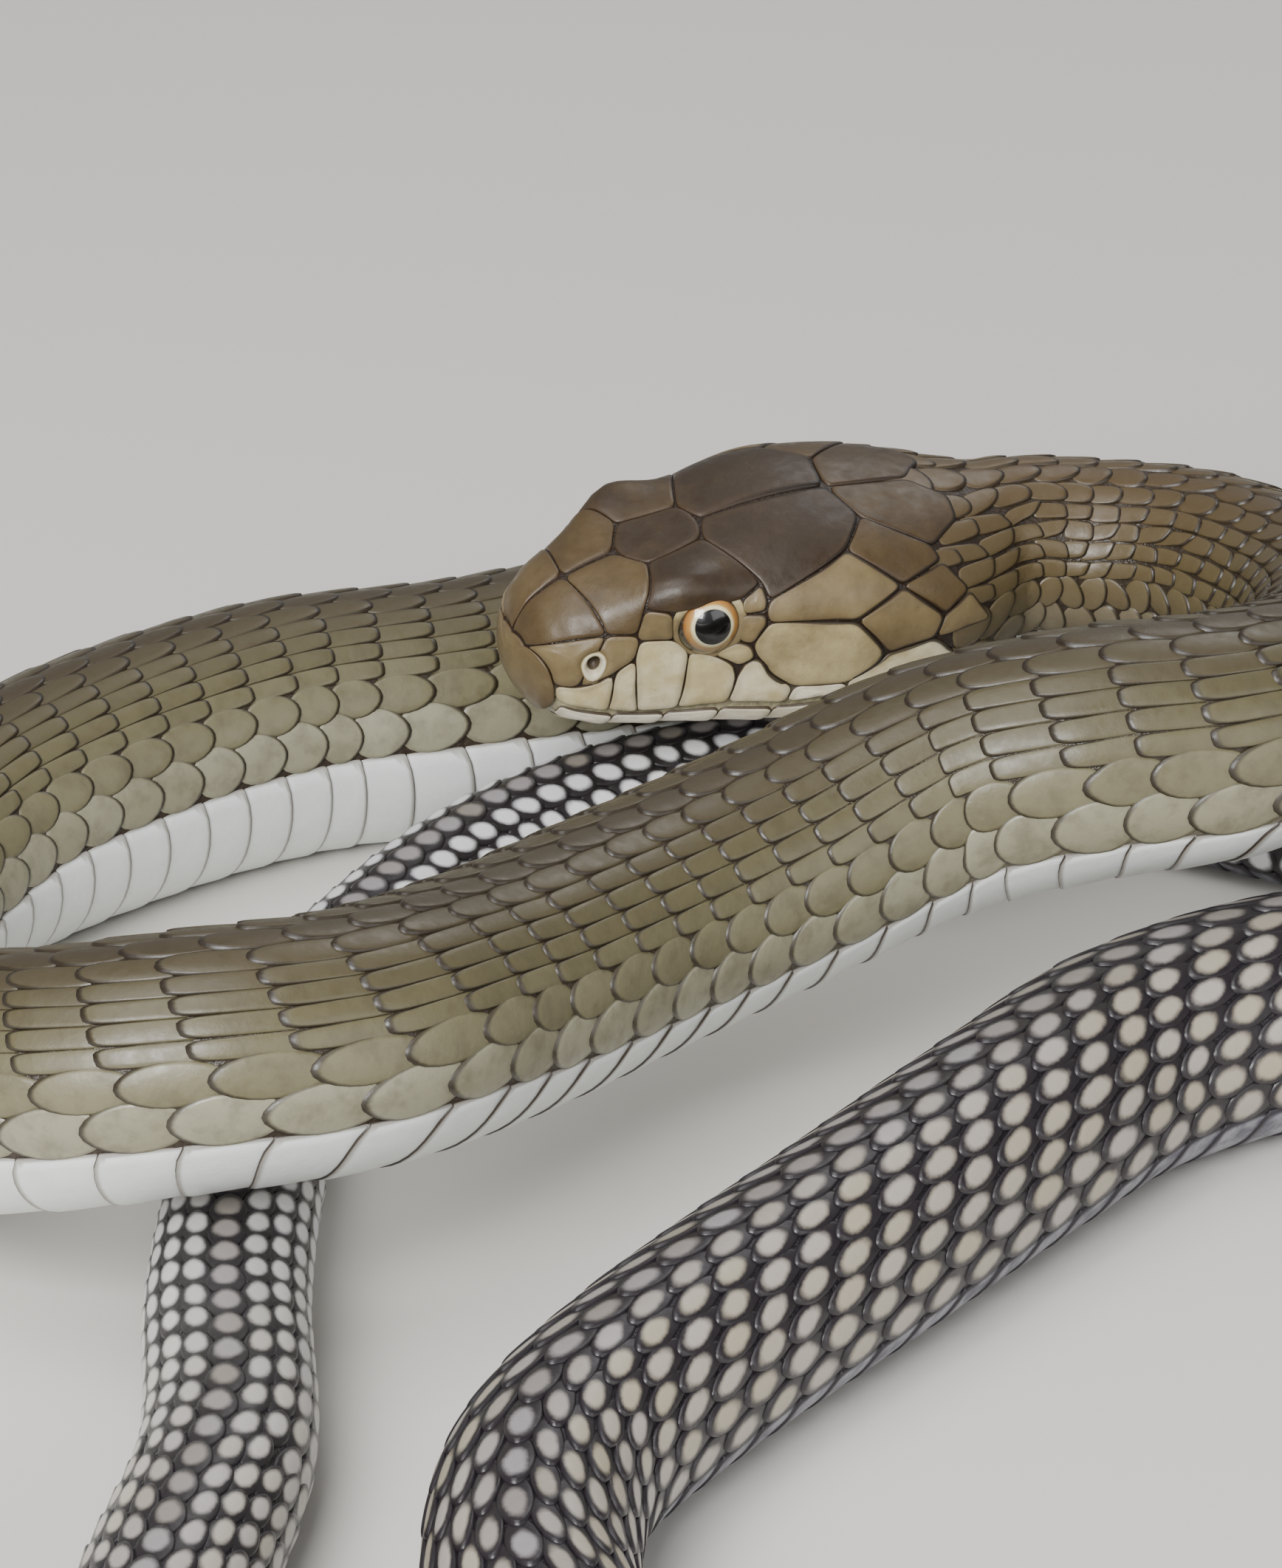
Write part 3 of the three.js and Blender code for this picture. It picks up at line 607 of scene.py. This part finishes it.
def scale_pattern(front, rear):
    """One scale from -1 to 1 along and across, squarer in front, with the share out to its rim."""
    spin = full_turn(SCALE_SPOKES)
    cosine, sine = np.cos(spin), np.sin(spin)
    power = np.where(cosine > 0, 2 / rear, 2 / front)
    along = np.sign(cosine) * np.abs(cosine) ** power
    across = np.sign(sine) * np.abs(sine) ** power
    x = np.append(np.outer(SCALE_RINGS, along).ravel(), 0)
    y = np.append(np.outer(SCALE_RINGS, across).ravel(), 0)
    out = np.append(np.repeat(SCALE_RINGS, SCALE_SPOKES), 0)
    return x, y, out


def row_plan(rows):
    """Of each row on the front of the body and then on the rear: width, squareness of the scales'
    two ends and how far they reach over the rows beside them."""
    last = (rows - 1) // 2
    front = [(0.62, 2.4, 2.0, 1.12), (1.1, 4.0, 2.3, 1.04)]
    front += [(0.8, 6.0, 4.2, 1.02)] * (last - 3)
    front += [(1.3, 2.3, 1.9, 1.28), (1.6, 2.2, 1.8, 1.3)]
    rear = [(0.6, 1.9, 1.8, 1.25)]
    rear += [(1.0, 1.9, 1.8, 1.3)] * (last - 2)
    rear += [(1.15, 1.9, 1.8, 1.3), (1.3, 1.9, 1.8, 1.3)]
    return np.array(front[-last - 1:]), np.array(rear)


def row_steps(rows, distance):
    """How far back the scales of each row lie, in steps of the row."""
    step = table(ROW_STEP, distance)
    last = (rows - 1) // 2
    back = [0 * step]
    back += [0.5 + step * k for k in range(last - 2)]
    back += [back[-1] + step - 0.1]
    back += [back[-1] + 0.5]
    return back


def all_stops():
    stops = [-60.0]
    while stops[-1] < BODY_LENGTH:
        stops.append(stops[-1] + float(table(SCALE_PITCH, stops[-1])))
    return np.array(stops)


STOPS = all_stops()


class Coat:
    """Gathers the scales of one stretch before they become one mesh."""

    LABELS = ("edge", "rear", "tone", "distance", "side", "kind", "spot")

    def __init__(self, columns, slots):
        self.points, self.faces, self.uv, self.total = [], [], [], 0
        self.values = {label: [] for label in self.LABELS}
        self.columns, self.slots = columns, slots

    def add(self, place, faces, edge, distance, side, kind, column, x, y):
        copies, each = place.shape[:2]
        self.points.append(place.reshape(-1, 3))
        self.faces.append(repeat_faces(faces, each, copies) + self.total)
        self.total += copies * each
        tone = np.repeat(draw.random((copies, 1)), each, axis=1)
        rear, spot = (x + 1) / 2, np.hypot((x - SPOT["middle"]) / SPOT["long"], y / SPOT["wide"])
        filled = (edge, rear, tone, distance, side, kind, spot)
        for label, numbers in zip(self.LABELS, filled):
            self.values[label].append(np.broadcast_to(numbers, (copies, each)).ravel())
        slot = np.arange(copies)[:, None] + 0.5
        u = (slot + 0.46 * x) / self.slots
        v = np.broadcast_to((column + 0.5 + 0.46 * y) / self.columns, u.shape)
        self.uv.append(np.column_stack([u.ravel(), v.ravel()]))

    def mesh(self, name):
        points, faces, uv = (np.vstack(parts) for parts in (self.points, self.faces, self.uv))
        return make_mesh(name, points, faces, join(self.values), uv)


def shingle_height(distance, x, out, front, rear):
    """Height of a scale's points over the skin: low in front, high behind, with its rim turned down."""
    depth = coat_depth(np.maximum(distance, 0))
    slope = front + (rear - front) * (x + 1) / 2
    height = depth * (slope * (0.82 + 0.18 * (out < 0.9)) + 0.14 * (1 - out ** 2))
    height = np.where(out >= 0.999, -0.3 * depth, height)
    return height * (0.55 + 0.45 * smooth(distance, -24, -6))


def row_layout(start, end, rows, row):
    """Of each scale in a row: distance, pitch, middle and width in degrees round from the back."""
    pitch = table(SCALE_PITCH, STOPS)
    middle = STOPS + row_steps(rows, STOPS)[row] * pitch
    keep = (middle >= start) & (middle < end)
    middle, pitch = middle[keep], pitch[keep]
    young, old = (plan[:, :1] for plan in row_plan(rows))
    widths = young + (old - young) * smooth(middle, *SCALES_CHANGE)
    unit = table(BELLY_FROM, middle) / widths.sum(axis=0)
    centre = (widths[:row].sum(axis=0) + widths[row] / 2) * unit if row else 0 * middle
    width = widths[row] * unit * (1 if row else 2)
    on_scales = HEAD_LENGTH + middle > table(SHIELDS_END, centre)
    return (values[on_scales, None] for values in (middle, pitch, centre, width))


def add_row(coat, start, end, rows, row, side):
    middle, pitch, centre, width = row_layout(start, end, rows, row)
    young, old = row_plan(rows)
    age = float(smooth((start + end) / 2, *SCALES_CHANGE))
    _, square_front, square_rear, over = young[row] + (old - young)[row] * age
    x, y, out = scale_pattern(square_front, square_rear)

    def swing():
        return draw.standard_normal((len(middle), 1))

    loose = 1 - smooth(middle, LOOSE["from"], LOOSE["to"])
    half = pitch * SCALE_REACH / 2 * (1 + UNEVEN["length"] * swing())
    girth = over * width / 2 * DEG * (ROW_GAP - LOOSE["narrow"] * loose)
    girth = girth * (1 + (UNEVEN["width"] + LOOSE["narrow"] * loose) * swing())
    sway = loose * LOOSE["sway"] * swing()
    rear_end = middle + pitch / 2 * (1.02 + loose * LOOSE["slide"] * swing())
    lean = table(ROW_STEP, middle) * pitch * ROW_LEAN * (0 < row < len(young) - 2)
    distance = rear_end - half * (1 - x) + (lean + sway * half) * y
    turn = side * (centre * DEG + girth * (y + sway * x))
    height = shingle_height(distance, x, out, *BACK_LIFT) * (1 + UNEVEN["height"] * swing())
    reach = body_radius(np.maximum(middle, 0))
    edge = (1 - out) * np.hypot(half * x, girth * reach * y) / np.maximum(out, 0.01)
    edge = np.where(out > 0, edge, np.minimum(half, girth * reach))
    faces = facing(ring_faces(len(SCALE_RINGS), SCALE_SPOKES, True), side)
    column = row if side > 0 else coat.columns - row
    down = centre / table(BELLY_FROM, middle)
    coat.add(surface(distance, turn, height), faces, edge, distance, down, 0, column, x, y)


def scute_pattern():
    """A belly plate as a grid from -1 to 1 along and across, with the share out to its rim."""
    x, y = (grid.ravel() for grid in np.meshgrid(SCUTE_ALONG, SCUTE_ACROSS, indexing="ij"))
    out = np.maximum(np.abs(x), np.abs(y))
    wide = len(SCUTE_ACROSS)
    first = np.arange((len(SCUTE_ALONG) - 1) * wide).reshape(-1, wide)[:, :-1].ravel()
    faces = [np.column_stack([first, first + wide, first + wide + 1])]
    faces += [np.column_stack([first, first + wide + 1, first + 1])]
    return x, y, out, np.vstack(faces)


def add_scutes(coat, start, end, rows):
    """Belly scutes, each one plate before the vent and a pair behind it."""
    x, y, out, faces = scute_pattern()
    pitch = table(SCALE_PITCH, STOPS)
    middle = STOPS + row_steps(rows, STOPS)[-1] * pitch
    keep = (middle >= start) & (middle < end) & (HEAD_LENGTH + middle > SCUTE["starts"])
    middle, pitch = middle[keep, None], pitch[keep, None]
    paired = start > VENT - 20
    for side in (-1, 1) if paired else (0,):
        narrow = 0.4 + 0.6 * smooth(middle, -50, -8)
        half_width = (180 - table(BELLY_FROM, middle)) * narrow
        span = half_width / 2 if paired else half_width
        turn = (180 + side * half_width / 2 + span * SCUTE["wide"] * y) * DEG
        half = pitch * SCALE_REACH / 2
        bow = SCUTE["bow"] * pitch * (1 - np.abs(y) ** 1.6)
        corner = 1 - SCUTE["cut"] * np.abs(y) ** 10
        distance = middle + pitch * 0.51 - half + half * x * corner + bow
        height = shingle_height(distance, x, out, *BELLY_LIFT)
        reach = body_radius(np.maximum(middle, 0))
        edge = np.minimum((1 - x) * half, (1 - np.abs(y)) * span * DEG * reach)
        column = coat.columns / 2 - 0.5 + side * 0.6
        coat.add(surface(distance, turn, height), faces, edge, distance, 1, 1, column, x, 0.9 * y)


def make_coat(name, start, end, rows):
    last = (rows - 1) // 2
    shortest = float(min(table(SCALE_PITCH, start), table(SCALE_PITCH, end)))
    coat = Coat(2 * last + 6, int((end - start) / shortest) + 3)
    for row in range(last + 1):
        for side in (1, -1) if row else (1,):
            add_row(coat, start, end, rows, row, side)
    add_scutes(coat, start, end, rows)
    return coat.mesh(name)


# Eyes
EYE_RINGS = 48
EYE_SPOKES = 64
EYE_FIT = 0.985  # size of the eye in shares of the solid's


def beside_gaze(gaze):
    """The directions across and up at right angles to a gaze."""
    across = np.cross(gaze, CROWN)
    across = across / np.linalg.norm(across)
    return across, np.cross(across, gaze)


def make_eye(name, side):
    gaze = GAZE + (side - 1) * (GAZE @ LEFT) * LEFT
    centre = SNOUT + EYE["back"] * BACK + side * EYE["out"] * LEFT + EYE["up"] * CROWN
    across, upright = beside_gaze(gaze)
    tilt = np.linspace(0, math.pi, EYE_RINGS + 1)[:-1][::-1]
    away, spin = np.meshgrid(tilt, full_turn(EYE_SPOKES), indexing="ij")
    ring = np.sin(away)
    direction = np.cos(away)[..., None] * gaze
    direction = direction + (ring * np.cos(spin))[..., None] * across
    direction = direction + (ring * np.sin(spin))[..., None] * upright
    points = (centre + EYE["radius"] * EYE_FIT * direction).reshape(-1, 3)
    points = np.vstack([points[:-EYE_SPOKES], points[-EYE_SPOKES:].mean(axis=0, keepdims=True)])
    faces = facing(ring_faces(EYE_RINGS - 1, EYE_SPOKES, True), side)
    share = np.append(away[:-1].ravel(), 0) / math.pi
    flat_spin = np.append(spin[:-1].ravel(), 0)
    values = {"away": share, "high": np.sin(flat_spin)}
    uv = 0.5 + 0.49 * np.column_stack([np.cos(flat_spin), np.sin(flat_spin)]) * share[:, None]
    return make_mesh(name, points, faces, values, uv)


# Rims of the eyes and nostrils
EYELID = {"ring": 5.3, "half": 0.8, "high": 0.55}
EYELID_TURNS = 72
EYELID_SIDES = 12
NOSTRIL_TURNS = 36
NOSTRIL_DISH = [(2.5, -0.2), (2.25, 0.35), (1.95, 0.62), (1.6, 0.55), (1.35, 0.1), (1.0, -0.9), (0.6, -1.5)]


def make_eyelid(name, side):
    """The raised ring of small scales round the eye, following the head's surface."""
    across, upright = beside_gaze(GAZE)
    backs, angles = np.meshgrid(np.linspace(17, 37, 120), np.linspace(-10, 70, 160) * DEG)
    near = head_point(backs, angles).reshape(-1, 3) - EYE_PLACE
    near_x, near_y, near_high = near @ across, near @ upright, near @ GAZE
    turns = full_turn(EYELID_TURNS)
    ring_x, ring_y = EYELID["ring"] * np.cos(turns), EYELID["ring"] * np.sin(turns)
    gap = np.hypot(near_x[:, None] - ring_x, near_y[:, None] - ring_y)
    height = near_high[gap.argmin(axis=0)]
    height = (height + np.roll(height, 1) + np.roll(height, -1)) / 3
    turn, spin = np.meshgrid(turns, full_turn(EYELID_SIDES), indexing="ij")
    reach = EYELID["ring"] + EYELID["half"] * np.cos(spin)
    lift = height[:, None] - 0.2 + EYELID["high"] * np.sin(spin)
    place = EYE_PLACE + (reach * np.cos(turn))[..., None] * across
    place = place + (reach * np.sin(turn))[..., None] * upright + lift[..., None] * GAZE
    points = place.reshape(-1, 3)
    if side < 0:
        points = points - 2 * ((points - SNOUT) @ LEFT)[:, None] * LEFT
    first = np.arange(turn.size).reshape(turn.shape)
    ahead, beside = np.roll(first, -1, axis=0), np.roll(first, -1, axis=1)
    corner = np.roll(ahead, -1, axis=1)
    quads = [(first, ahead, corner), (first, corner, beside)]
    faces = facing(np.vstack([np.column_stack([k.ravel() for k in three]) for three in quads]), side)
    values = {
        "edge": (0.9 * (1 + np.cos(spin)) * (0.6 + 0.4 * np.cos(turn * 9) ** 2)).ravel(),
        "shade": (0.62 + 0.3 * smooth(np.sin(turn), -0.2, 0.9)).ravel(),
        "tone": np.full(points.shape[0], 0.5),
        "rear": np.zeros(points.shape[0]),
    }
    uv = np.column_stack([turn.ravel() / 6.5, spin.ravel() / 6.5 * 0.2 + (0.4 if side < 0 else 0.1)])
    return make_mesh(name, points, faces, values, uv)


def make_nostril(name, side):
    """A round pit with a soft rim, set over the seam between the two nose shields; its rim carries a painted
    wet highlight and its inside painted shade.
    """
    turns = full_turn(NOSTRIL_TURNS)
    radii, lifts = (np.array(column)[:, None] for column in zip(*NOSTRIL_DISH))
    back = NOSTRIL["back"] + radii * np.cos(turns) * 0.85
    angle = NOSTRIL["angle"] + radii * np.sin(turns) / 12.6
    back, angle = np.append(back, NOSTRIL["back"]), np.append(angle, NOSTRIL["angle"])
    lift = np.append(np.broadcast_to(lifts, (len(lifts), NOSTRIL_TURNS)), -1.7)
    angle = angle if side > 0 else math.pi - angle
    place = head_point(back, angle) + lift[:, None] * head_normal(back, angle)
    faces = facing(ring_faces(len(NOSTRIL_DISH), NOSTRIL_TURNS, True), side)
    depth = np.append(np.broadcast_to(radii, (len(radii), NOSTRIL_TURNS)), 0)
    values = {
        # Painted shade: edge is 0 inside the pit, so the shield finish's seam and edge darkening paint the
        # pit dark.
        "edge": np.clip((depth - 1.25) * 2.5, 0, 1),
        # Painted highlight: the dish is pale cream out to its rim, standing in for the wet reflection on the
        # nostril.
        "shade": 0.95 - 0.25 * smooth(depth, 1.9, 2.5),
        "tone": np.full(len(place), 0.5),
        "rear": np.zeros(len(place)),
    }
    uv = np.column_stack([(back - 4) / 8, 0.5 + (angle - (NOSTRIL["angle"] if side > 0 else 3)) * 2])
    return make_mesh(name, place, faces, values, uv)


# Materials
def linear(code):
    """A colour from its hexadecimal code, in linear light."""
    parts = [int(code[k:k + 2], 16) / 255 for k in (1, 3, 5)]
    return tuple(((c + 0.055) / 1.055) ** 2.4 if c > 0.04045 else c / 12.92 for c in parts) + (1.0,)


class Finish:
    """A procedural material, put together node by node."""

    def __init__(self, name, roughness, coat=0.0, coat_roughness=0.2):
        self.material = bpy.data.materials.new(name)
        self.material.use_nodes = True
        self.tree = self.material.node_tree
        self.shader = self.tree.nodes["Principled BSDF"]
        self.shader.inputs["Roughness"].default_value = roughness
        self.shader.inputs["Coat Weight"].default_value = coat
        self.shader.inputs["Coat Roughness"].default_value = coat_roughness
        self.place = self.tree.nodes.new("ShaderNodeTexCoord").outputs["Object"]

    def link(self, source, target):
        self.tree.links.new(source, target)

    def value(self, label):
        node = self.tree.nodes.new("ShaderNodeAttribute")
        node.attribute_name = label
        return node.outputs["Fac"]

    def noise(self, scale, detail=4.0, roughness=0.5):
        node = self.tree.nodes.new("ShaderNodeTexNoise")
        node.inputs["Scale"].default_value = scale
        node.inputs["Detail"].default_value = detail
        node.inputs["Roughness"].default_value = roughness
        self.link(self.place, node.inputs["Vector"])
        return node.outputs["Fac"]

    def ramp(self, source, stops):
        node = self.tree.nodes.new("ShaderNodeValToRGB")
        elements = node.color_ramp.elements
        while len(elements) < len(stops):
            elements.new(0.5)
        for element, (position, colour) in zip(elements, stops):
            element.position = position
            element.color = linear(colour)
        self.link(source, node.inputs["Fac"])
        return node.outputs["Color"]

    def feed(self, source, socket):
        """Gives a socket a number, a colour's code or another node's output."""
        if isinstance(source, (int, float)):
            socket.default_value = source
        elif isinstance(source, str):
            socket.default_value = linear(source)
        else:
            self.link(source, socket)

    def mix(self, share, first, second):
        node = self.tree.nodes.new("ShaderNodeMix")
        node.data_type = "RGBA"
        for source, socket in ((share, 0), (first, 6), (second, 7)):
            self.feed(source, node.inputs[socket])
        return node.outputs[2]

    def math(self, operation, first, second):
        node = self.tree.nodes.new("ShaderNodeMath")
        node.operation = operation
        self.feed(first, node.inputs[0])
        self.feed(second, node.inputs[1])
        return node.outputs[0]

    def times(self, first, second):
        return self.math("MULTIPLY", first, second)

    def plus(self, first, second):
        return self.math("ADD", first, second)

    def around(self, source, share):
        """A value from 0 to 1 as a swing about nothing, a share wide."""
        return self.times(self.math("SUBTRACT", source, 0.5), share)

    def between(self, source, low, high):
        node = self.tree.nodes.new("ShaderNodeMapRange")
        node.interpolation_type = "SMOOTHSTEP"
        node.inputs["From Min"].default_value = low
        node.inputs["From Max"].default_value = high
        self.link(source, node.inputs["Value"])
        return node.outputs["Result"]

    def bump(self, height, distance, strength=1.0):
        node = self.tree.nodes.new("ShaderNodeBump")
        node.inputs["Strength"].default_value = strength
        node.inputs["Distance"].default_value = distance
        self.link(height, node.inputs["Height"])
        self.link(node.outputs["Normal"], self.shader.inputs["Normal"])

    def colour(self, source):
        self.link(source, self.shader.inputs["Base Color"])

    def roughness(self, source):
        self.link(source, self.shader.inputs["Roughness"])


def skin_finish():
    look = Finish("snake_skin", 0.4)
    distance, side = look.value("distance"), look.value("side")
    age = look.between(distance, PALE_FROM, PALE_TO)
    front = look.mix(look.between(side, 0.55, 0.7), "#3a3025", "#8f8a78")
    on_head = look.between(distance, 10, -14)
    front = look.mix(on_head, front, look.mix(look.between(side, 0.52, 0.62), "#2b1f16", "#aaa283"))
    rear = look.mix(look.between(side, 0.66, 0.74), "#17131a", "#35323c")
    colour = look.mix(age, front, rear)
    cloud = look.between(look.noise(900), 0.35, 0.7)
    look.colour(look.mix(look.times(cloud, 0.35), colour, "#1c1613"))
    look.roughness(look.between(look.noise(300), 0.1, 1.3))
    look.bump(look.noise(1300, 6), 0.0003)
    return look.material


def shield_finish():
    look = Finish("head_shield", 0.42, coat=0.12, coat_roughness=0.24)
    tone = look.around(look.value("tone"), 0.07)
    cloud = look.around(look.noise(130, 6, 0.62), 0.34)
    level = look.plus(look.plus(look.value("shade"), tone), cloud)
    colour = look.ramp(level, [
        (0.0, "#271c10"), (0.2, "#35281a"), (0.35, "#4f3f25"), (0.5, "#655538"), (0.7, "#8b7b58"),
        (0.84, "#c3b486"), (1.0, "#fff8e2"),
    ])
    edge = look.value("edge")
    halo = look.between(edge, 1.7, 0.2)
    colour = look.mix(look.times(halo, 0.28), colour, "#4c3a26")
    margin = look.plus(look.times(look.value("rear"), 0.75), 0.12)
    rim = look.between(look.math("DIVIDE", edge, margin), 1.25, 0.55)
    seam = look.mix(look.value("rear"), "#3a2a19", "#130d09")
    colour = look.mix(look.times(rim, 0.93), colour, seam)
    fleck = look.between(look.noise(1500, 3), 0.6, 0.78)
    colour = look.mix(look.times(fleck, 0.22), colour, "#2c2119")
    look.colour(colour)
    look.roughness(look.between(look.noise(420, 5), -0.6, 1.7))
    look.bump(look.noise(650, 6, 0.6), 0.00022, 0.5)
    return look.material


def scale_finish():
    look = Finish("body_scale", 0.42, coat=0.25, coat_roughness=0.3)
    distance, edge, rear = look.value("distance"), look.value("edge"), look.value("rear")
    side, tone = look.value("side"), look.value("tone")
    age = look.between(distance, PALE_FROM, PALE_TO)
    cloud = look.noise(240, 6, 0.62)
    level = look.plus(side, look.around(tone, 0.09))
    front = look.ramp(level, [
        (0.0, "#3e3524"), (0.2, "#4a422d"), (0.5, "#5c563c"), (0.76, "#736e54"), (0.95, "#999680"),
    ])
    front = look.mix(look.times(look.between(cloud, 0.4, 0.72), 0.4), front, "#473f2d")
    neck = look.between(distance, 130, 20)
    front = look.mix(look.times(neck, 0.6), front, "#5b482b")
    margin = look.plus(look.times(look.math("POWER", rear, 3.0), 1.0), 0.13)
    rim = look.between(look.math("DIVIDE", edge, margin), 1.5, 0.5)
    behind = look.plus(look.times(look.math("POWER", rear, 2.0), 0.5), 0.45)
    front = look.mix(look.times(rim, behind), front, "#21180f")
    late = look.between(distance, 2050, 2300)
    pale = look.mix(late, "#a89f8a", "#f4f4f6")
    pale = look.mix(look.between(side, 0.3, 0.02), pale, "#857e76")
    # Painted sheen: a lilac tint, laid into the pale spots at random strength, stands in for the scales'
    # blue-violet sheen.
    pale = look.mix(look.times(tone, 0.25), pale, "#b9b6cc")
    spot = look.between(look.plus(look.value("spot"), look.around(cloud, 0.5)), 0.9, 0.48)
    scale = look.mix(age, front, look.mix(spot, "#1d171c", pale))
    belly = look.mix(look.times(cloud, 0.5), "#f0f4f1", "#c2c6c5")
    belly = look.mix(look.times(look.between(edge, 1.1, 0.3), 0.75), belly, "#75695a")
    belly = look.mix(look.between(edge, 0.32, 0.1), belly, "#2f261d")
    belly_rear = look.mix(look.between(cloud, 0.35, 0.65), "#4a4a58", "#8b8c94")
    belly_rear = look.mix(look.between(edge, 1.6, 0.4), belly_rear, "#1f1b22")
    belly = look.mix(age, belly, belly_rear)
    look.colour(look.mix(look.value("kind"), scale, belly))
    look.roughness(look.between(look.noise(500, 5), -0.5, 1.7))
    look.bump(look.noise(900, 6, 0.6), 0.0002, 0.4)
    return look.material


def eye_finish():
    look = Finish("cobra_eye", 0.25, coat=1.0, coat_roughness=0.03)
    away = look.plus(look.value("away"), look.times(look.noise(700, 4), 0.006))
    colour = look.ramp(away, [
        (0.0, "#050608"), (0.166, "#0a0a0c"), (0.174, "#efe6bd"), (0.198, "#ead9a0"), (0.212, "#c1904c"),
        (0.262, "#a46f33"), (0.285, "#3a2917"), (0.31, "#15110d"),
    ])
    shade = look.between(look.value("high"), 0.2, -1.0)
    iris = look.between(look.value("away"), 0.17, 0.18)
    shade = look.times(look.times(shade, iris), 0.5)
    look.colour(look.mix(shade, colour, "#5b5333"))
    look.bump(look.noise(1800, 4), 0.00008, 0.3)
    return look.material


def floor_finish():
    look = Finish("studio_floor", 0.75)
    look.colour(look.mix(look.noise(3, 3), "#d9d6d0", "#dedbd6"))
    return look.material


# Building
def dress(thing, material):
    thing.data.materials.append(material)
    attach(thing, "root")


def build_animal():
    skin = make_skin()
    dress(skin, skin_finish())
    flesh = [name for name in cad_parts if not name.startswith("eye_")]
    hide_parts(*flesh)
    shields = shield_finish()
    dress(make_head_shields(), shields)
    scales = scale_finish()
    for name, start, end, rows in STRETCHES:
        dress(make_coat(name, start, end, rows), scales)
    eye_material = eye_finish()
    for name, side in (("left", 1), ("right", -1)):
        dress(make_eyelid("eyelid_" + name, side), shields)
        dress(make_nostril("nostril_" + name, side), shields)
        eye = make_eye("eye_globe_" + name, side)
        dress(eye, eye_material)
        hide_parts("eye_" + name)


# Studio
CAMERA = {"elevation": 26 * DEG, "distance": 1.2, "focal_pixels": 9780.0}
PHOTO = {"width": 1736, "height": 2123}
SENSOR = 36.0


def make_floor():
    mesh = bpy.data.meshes.new("floor")
    half = 6.0
    corners = [(-half, -half, 0), (half, -half, 0), (half, half, 0), (-half, half, 0)]
    mesh.from_pydata(corners, [], [(0, 1, 2, 3)])
    floor = bpy.data.objects.new("floor", mesh)
    bpy.context.scene.collection.objects.link(floor)
    mesh.materials.append(floor_finish())


def make_camera():
    data = bpy.data.cameras.new("camera")
    data.sensor_fit = "VERTICAL"
    data.sensor_height = SENSOR
    data.lens = CAMERA["focal_pixels"] / PHOTO["height"] * SENSOR
    data.clip_start = 0.05
    data.clip_end = 30
    camera = bpy.data.objects.new("camera", data)
    target = -MIDDLE * MM
    rise = CAMERA["elevation"]
    camera.location = (
        target[0],
        target[1] - CAMERA["distance"] * math.cos(rise),
        CAMERA["distance"] * math.sin(rise),
    )
    camera.rotation_euler = (math.pi / 2 - rise, 0, 0)
    bpy.context.scene.collection.objects.link(camera)
    bpy.context.scene.camera = camera


def make_light(name, place, size, power, target=(-0.14, 0.0, 0.03)):
    data = bpy.data.lights.new(name, "AREA")
    data.size = size
    data.energy = power
    light = bpy.data.objects.new(name, data)
    light.location = place
    away = np.array(place) - np.array(target)
    flat = math.hypot(away[0], away[1])
    light.rotation_euler = (math.atan2(flat, away[2]), 0, math.atan2(away[0], -away[1]))
    bpy.context.scene.collection.objects.link(light)


def make_studio():
    make_floor()
    make_camera()
    make_light("key", (-0.55, -1.15, 0.85), 0.7, 28)
    make_light("top", (-0.5, -0.2, 1.6), 1.0, 10)
    make_light("fill", (1.2, -1.2, 0.7), 1.4, 11)
    make_light("rim", (0.4, 1.3, 1.2), 0.8, 4)
    world = bpy.data.worlds.new("studio")
    world.use_nodes = True
    background = world.node_tree.nodes["Background"].inputs
    background["Color"].default_value = (0.93, 0.92, 0.9, 1)
    background["Strength"].default_value = 0.32
    bpy.context.scene.world = world


build_animal()
make_studio()
